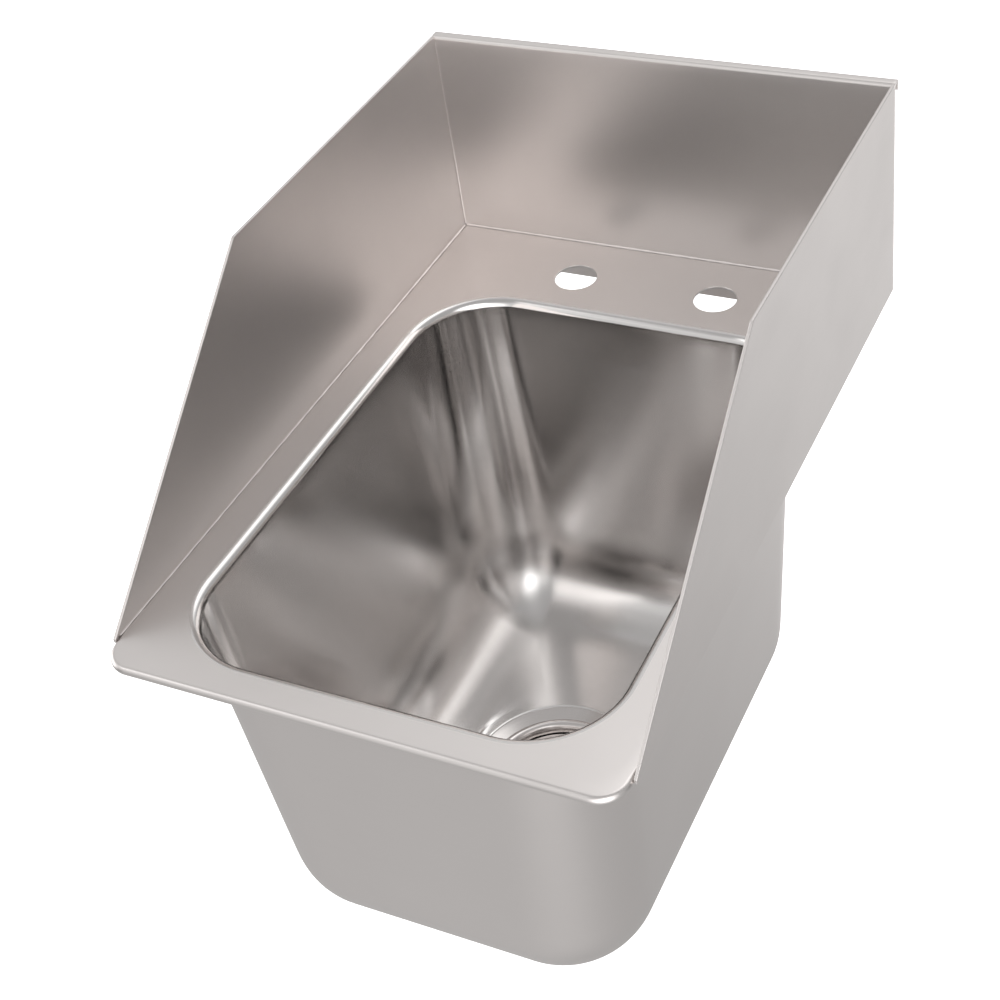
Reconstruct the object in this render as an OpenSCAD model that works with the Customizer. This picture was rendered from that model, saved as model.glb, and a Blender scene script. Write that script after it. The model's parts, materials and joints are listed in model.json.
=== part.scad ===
// Drop-in hand sink with a splash on three sides and a basket strainer drain.
// The rim's underside is z = 0, the front is -Y, and x = 0 is the middle.
// The origin is the middle of the front seat, the strip of the rim that rests on the counter.

/* [Deck] */
// Width of the deck beside the bowl's opening, out to the rim's outer face
side_land = 22.25; // [18:0.25:60]
// Depth of the deck in front of the bowl's opening
front_land = 19; // [15:0.5:60]
// Depth from the back of the bowl's opening to the back of the backsplash
rear_land = 76.5; // [64:0.5:140]
// Thickness of the deck, bowl, backsplash and rail sheet
sheet_t = 1.5; // [1.2:0.1:1.6]
// Height of the deck's top above the counter
rim_h = 5; // [4:0.5:12]
// Outer radius of the rolled front edge
front_roll_r = 3.2; // [2:0.1:6]
// Outer radius of the bend on the sides and back
side_bend_r = 2; // [1.9:0.1:3]
// Radius of the front corners seen from above
front_corner_r = 18; // [14:0.5:30]
// Width of the rim's underside that rests on the counter
seat_w = 12; // [8:0.5:13]

/* [Bowl] */
// Clear width of the bowl under its lip
bowl_w = 258; // [220:1:500]
// Clear length of the bowl under its lip, front to back
bowl_l = 355; // [260:1:600]
// Depth from the deck's top to the flat of the floor
bowl_depth = 254; // [150:1:300]
// Radius of the roll from the deck down into the bowl
lip_r = 6; // [4:0.5:7]
// Radius of the upright corners just under the lip
corner_r = 53; // [40:1:60]
// Radius of the cove between the walls and the floor
cove_r = 56; // [30:1:70]
// Radius of the upright corners where the cove ends, on the floor
floor_corner_r = 2; // [1:0.5:10]
// Lean of the walls, in degrees
draft = 2.45; // [1:0.05:3]
// Fall of the floor towards the drain
floor_fall = 1.2; // [0.6:0.1:3]

/* [Splash] */
// Height of the splashes above the deck's top
splash_h = 147.5; // [100:0.5:200]
// Thickness of a side splash
splash_t = 2; // [1.5:0.1:2.5]
// Length of a side splash's top edge, from the back of the backsplash
splash_top_l = 255; // [150:1:320]
// Distance from the end of the deck's rounded front corner to the front tip of a side splash
tip_gap = 0.5; // [0:0.5:20]
// Radius of the corner where a side splash starts to slope
splash_corner_r = 4; // [2:0.5:12]
// How far the splashes reach below the deck's top
splash_lap = 2.6; // [2.2:0.1:3]
// How far the backsplash's top fold goes back past its back face
fold_d = 7; // [6:0.5:15]
// Depth of the turned-down lip at the end of the fold
fold_lip = 7.5; // [6:0.5:15]
// Outer radius of the fold's bends
fold_r = 2.5; // [2:0.1:3]

/* [Faucet] */
// Diameter of a faucet hole
faucet_hole_d = 29; // [22:0.5:35]
// Distance between the faucet holes' centres
faucet_pitch = 101.6; // [95:0.1:110]
// Distance from the back of the backsplash to the faucet holes' centres
faucet_set = 44; // [36:0.5:48]
// Gap from the rim's seat to the rail under the deck
rail_gap = 0.5; // [0.3:0.1:4]
// Width of the rail's two flanges
rail_flange = 4.5; // [3:0.5:6]
// Depth of the rail
rail_h = 15; // [8:0.5:25]
// Distance from the rim's outer face to each end of the rail
rail_inset = 26.25; // [16:0.25:80]

/* [Drain] */
// Inner radius of the strainer's throat
throat_r = 43.7; // [40:0.1:50]
// Thickness of the strainer's metal
cup_t = 1.6; // [1:0.1:2]
// Gap round the throat in the floor's hole
hole_gap = 0.7; // [0.3:0.1:1.5]
// Width of the strainer's flange, outside the throat
flange_w = 14.3; // [10:0.1:16]
// Distance from the flange's edge to the edge of the floor's recess
recess_land = 1.5; // [1.4:0.1:8]
// Depth of the recess at the drain hole
recess_d = 7.5; // [6:0.1:10]
// Depth of the throat, from the floor to the ledge that carries the basket
throat_d = 19.5; // [17:0.5:24]
// Height of the basket
basket_h = 26; // [21:0.5:40]
// Height of the basket's rim above the ledge
rim_rise = 8; // [6:0.5:9]
// Gap between the basket's rim and the throat
rim_gap = 0.9; // [0.5:0.1:2]
// Radius of the basket's knob
knob_r = 8; // [6.5:0.5:10]
// Gap between the rubber stopper and the cup's wall
stopper_side_gap = 7; // [4:0.5:10]
// Gap between the basket's post and the bottom of the cup
cup_gap = 3.7; // [2:0.1:20]
// Length of the outlet below the cup
outlet_l = 24; // [20:0.5:30]
// Thickness of the outlet's threaded wall
outlet_wall = 4.45; // [3.5:0.05:6]
// Outer radius of the tailpiece
tail_r = 19.05; // [15:0.05:22]
// Wall of the tailpiece
tail_t = 1.2; // [0.8:0.1:1.5]
// Length of the tailpiece
tail_l = 101.6; // [60:0.1:140]

/* [Hidden] */
$fn = 96;
steel = [0.74, 0.72, 0.70];
drain_steel = [0.62, 0.61, 0.60];
rubber_black = [0.10, 0.10, 0.11];
fibre_tan = [0.60, 0.50, 0.36];
// Clearance between pieces that are laid on a pressed sheet
lay_gap = 0.1;

low_bend_r = sheet_t;
// The upper bends leave a short flat between them and the lower bend
bend_flat = 0.3;
top_bend_max = rim_h - low_bend_r - bend_flat;
front_roll = min(front_roll_r, top_bend_max);
side_bend = min(side_bend_r, top_bend_max);
open_x = bowl_w / 2 + lip_r;
open_y = bowl_l / 2 + lip_r;
deck_half_w = open_x + side_land;
overall_w = 2 * (deck_half_w + splash_t);
y_front = -(low_bend_r + seat_w) / 2;
bowl_y = y_front + front_land + open_y;
y_back = bowl_y + open_y + rear_land;
deck_rear = y_back - sheet_t;
splash_base = rim_h - splash_lap;
splash_top = rim_h + splash_h;
y_tip = y_front + front_corner_r + tip_gap;
faucet_y = y_back - faucet_set;
rail_y = deck_rear - seat_w - rail_gap - rail_flange;

// Points of an arc about c from angle a to angle b, in n steps
function arc(c, r, a, b, n = 8) =
    [for (i = [0:n]) let (t = a + (b - a) * i / n) c + r * [cos(t), sin(t)]];

// Section of the rim: x is the distance in from its outer face, y is height
function rim_section(top_r, reach) = concat(
    [[reach, rim_h]],
    arc([top_r, rim_h - top_r], top_r, 90, 180),
    arc([low_bend_r, low_bend_r], low_bend_r, 180, 270, 4),
    [[seat_w, 0], [seat_w, sheet_t], [sheet_t, sheet_t]],
    arc([top_r, rim_h - top_r], top_r - sheet_t, 180, 90),
    [[reach, rim_h - sheet_t]]);

// A section drawn in y and z, carried along x
module along_x(l) {
    translate([-l / 2, 0, 0]) rotate([90, 0, 90]) linear_extrude(l) children();
}

// The front run of the rim with its two rounded corners
module front_rim() {
    corner_x = deck_half_w - front_corner_r;
    corner_y = y_front + front_corner_r;
    translate([0, y_front, 0]) along_x(2 * corner_x) polygon(rim_section(front_roll, front_corner_r));
    for (side = [0, 1]) mirror([side, 0, 0]) translate([corner_x, corner_y, 0]) rotate([0, 0, -90])
        rotate_extrude(angle = 90)
            polygon([for (p = rim_section(front_roll, front_corner_r)) [front_corner_r - p[0], p[1]]]);
}

// The side runs and the back run of the rim, mitred at the back corners
module plain_rim() {
    section = rim_section(side_bend, front_corner_r);
    run_l = deck_rear - (y_front + front_corner_r);
    inner_x = deck_half_w - front_corner_r;
    for (side = [0, 1]) mirror([side, 0, 0]) intersection() {
        translate([-deck_half_w, deck_rear, 0]) rotate([90, 0, 0]) linear_extrude(run_l) polygon(section);
        translate([0, 0, -1]) linear_extrude(rim_h + 2) polygon([
            [-deck_half_w, deck_rear - run_l], [-inner_x, deck_rear - run_l],
            [-inner_x, deck_rear - front_corner_r], [-deck_half_w, deck_rear]]);
    }
    intersection() {
        translate([0, deck_rear, 0]) mirror([0, 1, 0]) along_x(2 * deck_half_w) polygon(section);
        translate([0, 0, -1]) linear_extrude(rim_h + 2) polygon([
            [-deck_half_w, deck_rear], [-inner_x, deck_rear - front_corner_r],
            [inner_x, deck_rear - front_corner_r], [deck_half_w, deck_rear]]);
    }
}

module deck() {
    plate_w = 2 * (deck_half_w - front_corner_r);
    color(steel) difference() {
        union() {
            front_rim();
            plain_rim();
            translate([-plate_w / 2, y_front + front_corner_r, rim_h - sheet_t])
                cube([plate_w, deck_rear - y_front - 2 * front_corner_r, sheet_t]);
        }
        translate([0, bowl_y, rim_h - 2 * sheet_t]) linear_extrude(3 * sheet_t)
            polygon(rect_ring(0, corner_r + lip_r));
        for (side = [-1, 1]) translate([side * faucet_pitch / 2, faucet_y, rim_h - 2 * sheet_t])
            cylinder(d = faucet_hole_d, h = 3 * sheet_t);
    }
}

// Drain radii, worked out from the throat, which the bowl's floor must fit too
sink_hole_r = throat_r + cup_t + hole_gap;
flange_r = throat_r + flange_w;
recess_r = flange_r + recess_land;
recess_shoulder = 1.2;
recess_top_r = recess_r - recess_shoulder;
recess_top_d = 2.8;

// Bowl: rings of points down the inside and back up the outside.
// A wall point is [inset from the deck's opening, height]; the corners' radius grows with depth.
floor_z = rim_h - bowl_depth;
drain_z = floor_z - floor_fall;
// The cove ends before the drain's recess
cove = min(cove_r, bowl_w / 2 - recess_r - bowl_depth * tan(draft));
corner_low_r = cove + floor_corner_r;
cove_z = floor_z + cove * (1 - sin(draft));
cove_inset = lip_r + (rim_h - lip_r - cove_z) * tan(draft);
floor_inset = cove_inset + cove * cos(draft);
long_steps = 18;
short_steps = 10;
corner_steps = 8;

function inner_wall() = concat(
    [for (i = [0:5]) let (a = (90 - draft) * i / 5) [lip_r * sin(a), rim_h - lip_r + lip_r * cos(a)]],
    [for (i = [0:8]) let (a = draft + (90 - draft) * i / 8)
        [cove_inset + cove * (cos(draft) - cos(a)), cove_z - cove * (sin(a) - sin(draft))]]);
function recess() = [[recess_r, drain_z], [recess_r - recess_shoulder / 3, drain_z - 0.4],
                     [recess_r - recess_shoulder * 2 / 3, drain_z - 1.5],
                     [recess_top_r, drain_z - recess_top_d], [sink_hole_r, drain_z - recess_d]];

// The two lists joined as one line of [distance in, height], to find its normals
function centre_line() = concat(inner_wall(), [for (p = recess()) [floor_inset + recess_r - p[0], p[1]]]);
wall_rows = len(inner_wall());
rows = len(centre_line());

function unit(v) = v / norm(v);
function normal_at(line, i) = i == 0 ? [0, -1] :
    let (v = unit(line[min(i + 1, rows - 1)] - line[i - 1])) [v[1], -v[0]];
function outer_line() = let (line = centre_line()) [for (i = [0:rows - 1])
    i < rows - 1 ? line[i] + sheet_t * normal_at(line, i)
                 : line[i] - [0, sheet_t / abs(normal_at(line, i)[1])]];

// Corner radius of a wall point: it grows down the wall and shrinks round the lip and the cove
function ring_r(inset, z) = z >= rim_h - lip_r ? corner_r + lip_r - inset :
    corner_low_r - max(0, inset - cove_inset)
    - (corner_low_r - corner_r) * max(0, (z - cove_z) / (rim_h - lip_r - cove_z));

// Even steps of angle along a straight, as a share of its half length
function share(i, n, half_angle) = tan(half_angle * (2 * i / n - 1)) / tan(half_angle);
long_angle = atan((open_y - floor_inset) / (open_x - floor_inset));
short_angle = 90 - long_angle;

// A rounded rectangle of points, from the right side round by the back
function corner(centre, r, start) =
    [for (i = [0:corner_steps - 1]) let (t = start + 90 * i / corner_steps) centre + r * [cos(t), sin(t)]];
function rect_ring(inset, r) =
    let (x = open_x - inset, y = open_y - inset, sx = x - r, sy = y - r) concat(
    [for (i = [0:long_steps - 1]) [x, sy * share(i, long_steps, long_angle)]],
    corner([sx, sy], r, 0),
    [for (i = [0:short_steps - 1]) [-sx * share(i, short_steps, short_angle), y]],
    corner([-sx, sy], r, 90),
    [for (i = [0:long_steps - 1]) [-x, -sy * share(i, long_steps, long_angle)]],
    corner([-sx, -sy], r, 180),
    [for (i = [0:short_steps - 1]) [sx * share(i, short_steps, short_angle), -y]],
    corner([sx, -sy], r, 270));
ring_n = 2 * long_steps + 2 * short_steps + 4 * corner_steps;

// A circle of points in the same directions as the floor's ring
function round_ring(r) = let (guide = rect_ring(floor_inset, corner_low_r - cove * cos(draft)))
    [for (p = guide) r * unit(p)];

function ring(p, i) = let (flat = i < wall_rows ? rect_ring(p[0], ring_r(p[0], p[1]))
                                                 : round_ring(recess_r + floor_inset - p[0]))
    [for (q = flat) [q[0], q[1], p[1]]];

module bowl() {
    inside = centre_line();
    outside = outer_line();
    points = concat([for (i = [0:rows - 1]) each ring(inside[i], i)],
                    [for (i = [rows - 1:-1:0]) each ring(outside[i], i)]);
    turns = 2 * rows;
    faces = [for (k = [0:turns - 1]) for (i = [0:ring_n - 1])
        let (a = k * ring_n + i, b = k * ring_n + (i + 1) % ring_n,
             c = ((k + 1) % turns) * ring_n + (i + 1) % ring_n, d = ((k + 1) % turns) * ring_n + i)
        each [[a, b, c], [a, c, d]]];
    color(steel) translate([0, bowl_y, 0]) polyhedron(points, faces);
}

module backsplash() {
    back_lip_y = y_back + fold_d;
    top_c = splash_top - fold_r;
    face_y = y_back - sheet_t;
    color(steel) along_x(overall_w) polygon(concat(
        [[face_y, splash_base]],
        arc([face_y + fold_r, top_c], fold_r, 180, 90),
        arc([back_lip_y - fold_r, top_c], fold_r, 90, 0),
        [[back_lip_y, splash_top - fold_lip], [back_lip_y - sheet_t, splash_top - fold_lip]],
        arc([back_lip_y - fold_r, top_c], fold_r - sheet_t, 0, 90),
        arc([face_y + fold_r, top_c], fold_r - sheet_t, 90, 180),
        [[y_back, splash_base]]));
}

// The sloped sheet on the right; the left one is its mirror image
module side_splash() {
    y_top = y_back - splash_top_l;
    slope = atan(splash_h / (y_top - y_tip));
    corner_c = [y_top + splash_corner_r * tan(slope / 2), splash_top - splash_corner_r];
    translate([deck_half_w + splash_t / 2, 0, 0]) along_x(splash_t) polygon(concat(
        [[y_tip, splash_base], [y_tip, rim_h]],
        arc(corner_c, splash_corner_r, 90 + slope, 90),
        [[deck_rear, splash_top], [deck_rear, splash_base]]));
}
module right_side_splash() {
    color(steel) side_splash();
}
module left_side_splash() {
    color(steel) mirror([1, 0, 0]) side_splash();
}

// Folded channel under the back of the deck, open to the rear
module rear_rail() {
    top_z = rim_h - sheet_t;
    color(steel) translate([0, rail_y, 0]) along_x(2 * (deck_half_w - rail_inset)) polygon([
        [0, top_z], [rail_flange, top_z], [rail_flange, top_z - sheet_t], [sheet_t, top_z - sheet_t],
        [sheet_t, top_z - rail_h + sheet_t], [rail_flange, top_z - rail_h + sheet_t],
        [rail_flange, top_z - rail_h], [0, top_z - rail_h]]);
}

// Drain: heights are measured from the floor at the recess, and fall below it
module at_drain() {
    translate([0, bowl_y, drain_z]) children();
}

// Gap between pieces that slip over one another
slip_gap = 0.1;
// Extra length of a cut past the face that it opens
cut_extra = 1;
// Height of the recess at radius r
recess_slope = (recess_d - recess_top_d) / (recess_top_r - sink_hole_r);
function recess_at(r) = -recess_top_d - (recess_top_r - r) * recess_slope;
seal_t = 0.8;
flange_t = 1.6;
flange_edge_r = 0.4;
lip_roll_r = 5;
body_r = throat_r + cup_t;
ledge_r = throat_r - 3.7;
ledge_fall = 2.5;
ledge_z = -throat_d - ledge_fall;
function ledge_at(r) = -throat_d - (throat_r - r) * ledge_fall / (throat_r - ledge_r);
cup_low_r = ledge_r - 2;

// Basket heights, from its rim down to the end of its post
basket_top = -throat_d + rim_rise;
basket_floor_z = basket_top - basket_h;
stopper_t = 4;
stopper_gap = 0.3;
stopper_z = basket_floor_z - stopper_gap - stopper_t;
nut_t = 3.5;
post_end = 1;
post_z = stopper_z - nut_t - post_end;
cup_floor_z = post_z - cup_gap;

// Outlet sizes, from the tailpiece's bore up to the cup's bottom
outlet_bore_r = tail_r;
outlet_thread_r = outlet_bore_r + outlet_wall;
spud_flange_w = 2.5;
spud_flange_t = 1.5;
bottom_r = outlet_thread_r + spud_flange_w + 0.5;
spud_z = cup_floor_z - cup_t;
outlet_z = cup_floor_z - outlet_l;

// A flat ring that stands on z
module flat_ring(outer_r, inner_r, h, z) {
    translate([0, 0, z]) difference() {
        cylinder(r = outer_r, h = h);
        translate([0, 0, -cut_extra]) cylinder(r = inner_r, h = h + 2 * cut_extra);
    }
}

module flange_seal() {
    inner = body_r + 0.4;
    outer = flange_r - 0.8;
    color(rubber_black) at_drain() rotate_extrude() polygon([
        [inner, recess_at(inner) + lay_gap], [outer, recess_at(outer) + lay_gap],
        [outer, recess_at(outer) + seal_t], [inner, recess_at(inner) + seal_t]]);
}

// Strainer body: dished flange, rolled lip, throat, ledge and cup, with a cross punched in its bottom
module drain_cup() {
    flange_top = recess_at(flange_r) + seal_t + flange_t;
    roll_x = throat_r + lip_roll_r;
    roll_c = [roll_x, recess_at(roll_x) + seal_t + flange_t - lip_roll_r];
    // Where the cup's wall turns into its bottom
    turn_h = 8;
    turn_low = [cup_low_r - 4, cup_floor_z + 3];
    under = cup_t - 0.6;
    color(drain_steel) at_drain() difference() {
        rotate_extrude() polygon(concat(
            [[flange_r, flange_top - flange_t + 2 * flange_edge_r], [flange_r - flange_edge_r, flange_top]],
            arc(roll_c, lip_roll_r, 90, 180, 6),
            [[throat_r, -throat_d], [ledge_r, ledge_z], [cup_low_r, cup_floor_z + turn_h], turn_low,
             [bottom_r, cup_floor_z], [0, cup_floor_z], [0, spud_z], [bottom_r + 0.5, spud_z],
             turn_low + [0.6, -cup_t], [cup_low_r + cup_t, cup_floor_z + turn_h - 0.6],
             [ledge_r + cup_t, ledge_z - under], [body_r, -throat_d - under],
             [body_r, recess_at(body_r) + seal_t]]));
        cross_windows();
    }
}

// The cut between the bars of the cross
module cross_windows() {
    hub_r = 5.5;
    hub_bore_r = 3.2;
    bar_w = 2;
    window_r = outlet_bore_r - 0.5;
    translate([0, 0, spud_z - cut_extra]) {
        cylinder(r = hub_bore_r, h = cup_t + 2 * cut_extra);
        difference() {
            cylinder(r = window_r, h = cup_t + 2 * cut_extra);
            translate([0, 0, -cut_extra]) cylinder(r = hub_r, h = cup_t + 4 * cut_extra);
            for (a = [0:45:135]) rotate([0, 0, a])
                translate([-window_r - cut_extra, -bar_w / 2, -cut_extra])
                    cube([2 * (window_r + cut_extra), bar_w, cup_t + 4 * cut_extra]);
        }
    }
}

// Threaded outlet, brazed under the cup
module outlet_spud() {
    flange = outlet_thread_r + spud_flange_w;
    color(drain_steel) at_drain() rotate_extrude() polygon([
        [outlet_bore_r, spud_z], [flange, spud_z], [flange, spud_z - spud_flange_t],
        [outlet_thread_r, spud_z - spud_flange_t], [outlet_thread_r, outlet_z], [outlet_bore_r, outlet_z]]);
}

gasket_t = 4;
gasket_z = recess_at(sink_hole_r) - gasket_t;
module floor_gasket() {
    inner = body_r + 0.3;
    outer = recess_top_r - 1.5;
    under = sheet_t / cos(atan(recess_slope)) + lay_gap;
    color(rubber_black) at_drain() rotate_extrude() polygon([
        [inner, gasket_z], [outer, gasket_z],
        [outer, recess_at(outer) - under], [inner, recess_at(inner) - under]]);
}
ring_t = 0.9;
module friction_ring() {
    color(fibre_tan) at_drain() flat_ring(recess_top_r - 2, body_r + 0.3, ring_t, gasket_z - ring_t);
}

// Locknut: ring with a bearing flange on top and eight lugs
nut_h = 6;
module locknut() {
    ring_w = 6;
    bearing_w = 8.5;
    bearing_t = 1.5;
    lug = [8, 10];
    lug_r = throat_r + 4;
    z = gasket_z - ring_t - nut_h;
    bore_r = body_r + slip_gap;
    color(drain_steel) at_drain() {
        flat_ring(throat_r + ring_w, bore_r, nut_h, z);
        flat_ring(throat_r + bearing_w, bore_r, bearing_t, z + nut_h - bearing_t);
        for (a = [0:45:315]) rotate([0, 0, a])
            translate([lug_r, -lug[1] / 2, z]) cube([lug[0], lug[1], nut_h]);
    }
}

washer_t = 1.5;
washer_r = outlet_thread_r - 0.6;
tail_flange_t = 1.5;
tail_top = outlet_z - washer_t;
module tailpiece_washer() {
    color(rubber_black) at_drain() flat_ring(washer_r, outlet_bore_r, washer_t, tail_top);
}
// Tailpiece: the tube is drawn in a little under its flange
neck_l = 12;
neck_step = 0.3;
module tailpiece() {
    bore = tail_r - tail_t;
    neck = tail_r - neck_step;
    color(drain_steel) at_drain() translate([0, 0, tail_top]) rotate_extrude() polygon([
        [bore, 0], [washer_r, 0], [washer_r, -tail_flange_t], [neck, -tail_flange_t],
        [neck, -neck_l], [tail_r, -neck_l - neck_step], [tail_r, -tail_l], [bore, -tail_l]]);
}
coupling_h = 15;
coupling_wall = 3;
coupling_floor = 2;
module coupling_nut() {
    wall_r = outlet_thread_r + coupling_wall;
    rib = [3, 6];
    z = tail_top - tail_flange_t - coupling_floor;
    color(drain_steel) at_drain() {
        flat_ring(wall_r, tail_r + 0.4, coupling_floor, z);
        flat_ring(wall_r, outlet_thread_r + slip_gap, coupling_h - coupling_floor, z + coupling_floor);
        for (a = [0:45:315]) rotate([0, 0, a])
            translate([wall_r - 1, -rib[1] / 2, z]) cube([rib[0], rib[1], coupling_h]);
    }
}

// Basket: flared rim, shoulder on the ledge, tapered slotted wall and drilled floor
slot_n = 24;
post_r = 3;
basket_t = 1;
basket_gap = 0.3;
shoulder_r = ledge_r - 1.5;
basket_rim_r = throat_r - rim_gap;
basket_wall_r = basket_rim_r - 1.2;
basket_low_r = shoulder_r - 4.5;
module strainer_basket() {
    wall_z = ledge_at(basket_wall_r) + basket_gap;
    seat_z = ledge_at(shoulder_r) + basket_gap;
    rim_lip = 1.2;
    bend = 2.6;
    bore_r = post_r + slip_gap;
    color(drain_steel) at_drain() difference() {
        rotate_extrude() polygon([
            [basket_rim_r, basket_top - rim_lip], [basket_rim_r, basket_top],
            [basket_wall_r - basket_t, basket_top], [basket_wall_r - basket_t, wall_z + 0.6],
            [shoulder_r - basket_t, seat_z + 0.6], [basket_low_r - basket_t, basket_floor_z + 3],
            [basket_low_r - 3, basket_floor_z + basket_t], [bore_r, basket_floor_z + basket_t],
            [bore_r, basket_floor_z], [basket_low_r - bend, basket_floor_z],
            [basket_low_r, basket_floor_z + bend], [shoulder_r, seat_z],
            [basket_wall_r, wall_z], [basket_wall_r, basket_top - rim_lip]]);
        basket_slots(seat_z);
        basket_holes();
    }
}
module basket_slots(seat_z) {
    slot_w = 2;
    slot_z = basket_floor_z + 4;
    for (i = [0:slot_n - 1]) rotate([0, 0, 360 * i / slot_n])
        translate([basket_low_r - 4, -slot_w / 2, slot_z]) cube([10, slot_w, seat_z - 2 - slot_z]);
}
// Rings of holes in the basket's floor, spread between the post and the wall
module basket_holes() {
    rings = 3;
    hole_r = 1.6;
    hole_pitch = 8.5;
    first_r = post_r + 9;
    last_r = basket_low_r - 7;
    for (k = [0:rings - 1]) {
        ring_r = first_r + (last_r - first_r) * k / (rings - 1);
        n = round(2 * PI * ring_r / hole_pitch);
        for (i = [0:n - 1]) rotate([0, 0, 360 * i / n]) translate([ring_r, 0, basket_floor_z - cut_extra])
            cylinder(r = hole_r, h = basket_t + 2 * cut_extra, $fn = 16);
    }
}

knob_t = 6.4;
knob_stem = 5.6;
knob_wall = 1.5;
post_top = basket_top - knob_t + 0.4;
module basket_post() {
    collar_w = 3;
    collar_t = 1.2;
    color(drain_steel) at_drain() {
        translate([0, 0, post_z]) cylinder(r = post_r, h = post_top - post_z);
        translate([0, 0, basket_floor_z + basket_t]) cylinder(r = post_r + collar_w, h = collar_t);
    }
}
module basket_knob() {
    stem_r = post_r + knob_wall;
    stem_z = basket_top - knob_t - knob_stem;
    color(drain_steel) at_drain() difference() {
        rotate_extrude() polygon([
            [0, basket_top], [knob_r - 2, basket_top - 0.6], [knob_r, basket_top - 2.6],
            [knob_r - 0.6, basket_top - 4.4], [stem_r, basket_top - knob_t],
            [stem_r, stem_z], [0, stem_z]]);
        translate([0, 0, stem_z - cut_extra])
            cylinder(r = post_r + slip_gap / 2, h = post_top - stem_z + cut_extra);
    }
}
module basket_stopper() {
    stopper_r = cup_low_r - stopper_side_gap;
    bore_r = post_r + slip_gap;
    color(rubber_black) at_drain() rotate_extrude() polygon([
        [bore_r, stopper_z], [stopper_r - 5, stopper_z], [stopper_r, stopper_z + stopper_t - 1.5],
        [stopper_r - 0.5, stopper_z + stopper_t], [bore_r, stopper_z + stopper_t]]);
}
module post_nut() {
    nut_r = 6;
    color(drain_steel) at_drain() translate([0, 0, stopper_z - nut_t]) difference() {
        cylinder(r = nut_r, h = nut_t, $fn = 6);
        translate([0, 0, -cut_extra]) cylinder(r = post_r + slip_gap, h = nut_t + 2 * cut_extra);
    }
}

deck();
bowl();
backsplash();
left_side_splash();
right_side_splash();
rear_rail();
drain_cup();
outlet_spud();
flange_seal();
floor_gasket();
friction_ring();
locknut();
tailpiece_washer();
tailpiece();
coupling_nut();
strainer_basket();
basket_post();
basket_knob();
basket_stopper();
post_nut();
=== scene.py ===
"""The looks of a drop-in hand sink: satin sheet work, a polished drawn bowl and a basket strainer drain.

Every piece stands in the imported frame, in metres: +Z up, -Y the front, and z = 0 the counter's top.
"""

import json
import logging
import math
from collections.abc import Callable
from dataclasses import dataclass, field
from enum import Enum

import bpy
import numpy as np
from mathutils import Matrix, Vector


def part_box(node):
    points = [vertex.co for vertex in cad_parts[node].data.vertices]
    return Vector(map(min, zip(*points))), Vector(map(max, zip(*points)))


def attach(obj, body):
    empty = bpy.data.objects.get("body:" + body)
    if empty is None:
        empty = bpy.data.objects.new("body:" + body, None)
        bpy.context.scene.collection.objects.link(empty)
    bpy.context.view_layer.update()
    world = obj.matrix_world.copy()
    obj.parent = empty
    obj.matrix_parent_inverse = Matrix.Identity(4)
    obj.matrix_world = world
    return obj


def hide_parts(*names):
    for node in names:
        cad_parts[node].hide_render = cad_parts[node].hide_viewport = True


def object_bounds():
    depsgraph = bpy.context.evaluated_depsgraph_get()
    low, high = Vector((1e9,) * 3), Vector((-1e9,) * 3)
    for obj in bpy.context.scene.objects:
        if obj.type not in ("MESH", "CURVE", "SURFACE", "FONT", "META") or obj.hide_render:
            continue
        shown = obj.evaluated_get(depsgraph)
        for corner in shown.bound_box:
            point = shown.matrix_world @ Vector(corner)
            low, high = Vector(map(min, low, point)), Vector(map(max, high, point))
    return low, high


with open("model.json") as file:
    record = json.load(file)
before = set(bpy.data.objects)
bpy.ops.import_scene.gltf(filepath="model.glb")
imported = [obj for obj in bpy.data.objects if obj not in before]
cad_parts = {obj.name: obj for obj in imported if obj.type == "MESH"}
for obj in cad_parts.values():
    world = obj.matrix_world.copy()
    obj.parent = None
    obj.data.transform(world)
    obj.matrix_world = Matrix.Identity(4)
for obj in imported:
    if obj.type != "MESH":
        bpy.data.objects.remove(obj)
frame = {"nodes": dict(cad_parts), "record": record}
CAD_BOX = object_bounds()

MM = 0.001
IMAGE_PX = 1000
LOG = logging.getLogger("sink")
Array = np.ndarray


# Surfaces worked out with numpy


def arc(centre: tuple[float, float], radius: float, start: float, end: float, steps: int) -> Array:
    """Points of a circular arc: centre plus radius times the cosine and sine of evenly spaced angles.

    Args:
        centre: the arc's centre.
        radius: its radius.
        start: first angle in degrees.
        end: last angle in degrees.
        steps: number of equal steps.

    Returns:
        An array of steps + 1 points.
    """
    angle = np.radians(np.linspace(start, end, steps + 1))
    return np.array(centre) + radius * np.column_stack([np.cos(angle), np.sin(angle)])


def line(start: tuple[float, float], end: tuple[float, float], steps: int) -> Array:
    """Evenly spaced points from start to end, both included."""
    return np.linspace(np.array(start, float), np.array(end, float), steps + 1)


def joined(*runs: Array) -> Array:
    """Puts runs of points one after another.

    Args:
        runs: arrays of points.

    Returns:
        One array, in which no point repeats the one before it.
    """
    points = np.vstack(runs)
    step = np.linalg.norm(np.diff(points, axis=0), axis=1)
    return points[np.concatenate([[True], step > 1e-7])]


def offset_line(points: Array, distance: float) -> Array:
    """Moves a line sideways: each point plus distance times the left normal of its neighbours' chord.

    Args:
        points: array of points with 2 coordinates.
        distance: how far to the left.

    Returns:
        The moved points.
    """
    chord = np.gradient(points, axis=0)
    chord /= np.linalg.norm(chord, axis=1, keepdims=True)
    return points + distance * np.column_stack([-chord[:, 1], chord[:, 0]])


def running_length(points: Array) -> Array:
    """Distance along a line of points, from 0 at the first."""
    return np.concatenate([[0.0], np.cumsum(np.linalg.norm(np.diff(points, axis=0), axis=1))])


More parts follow.
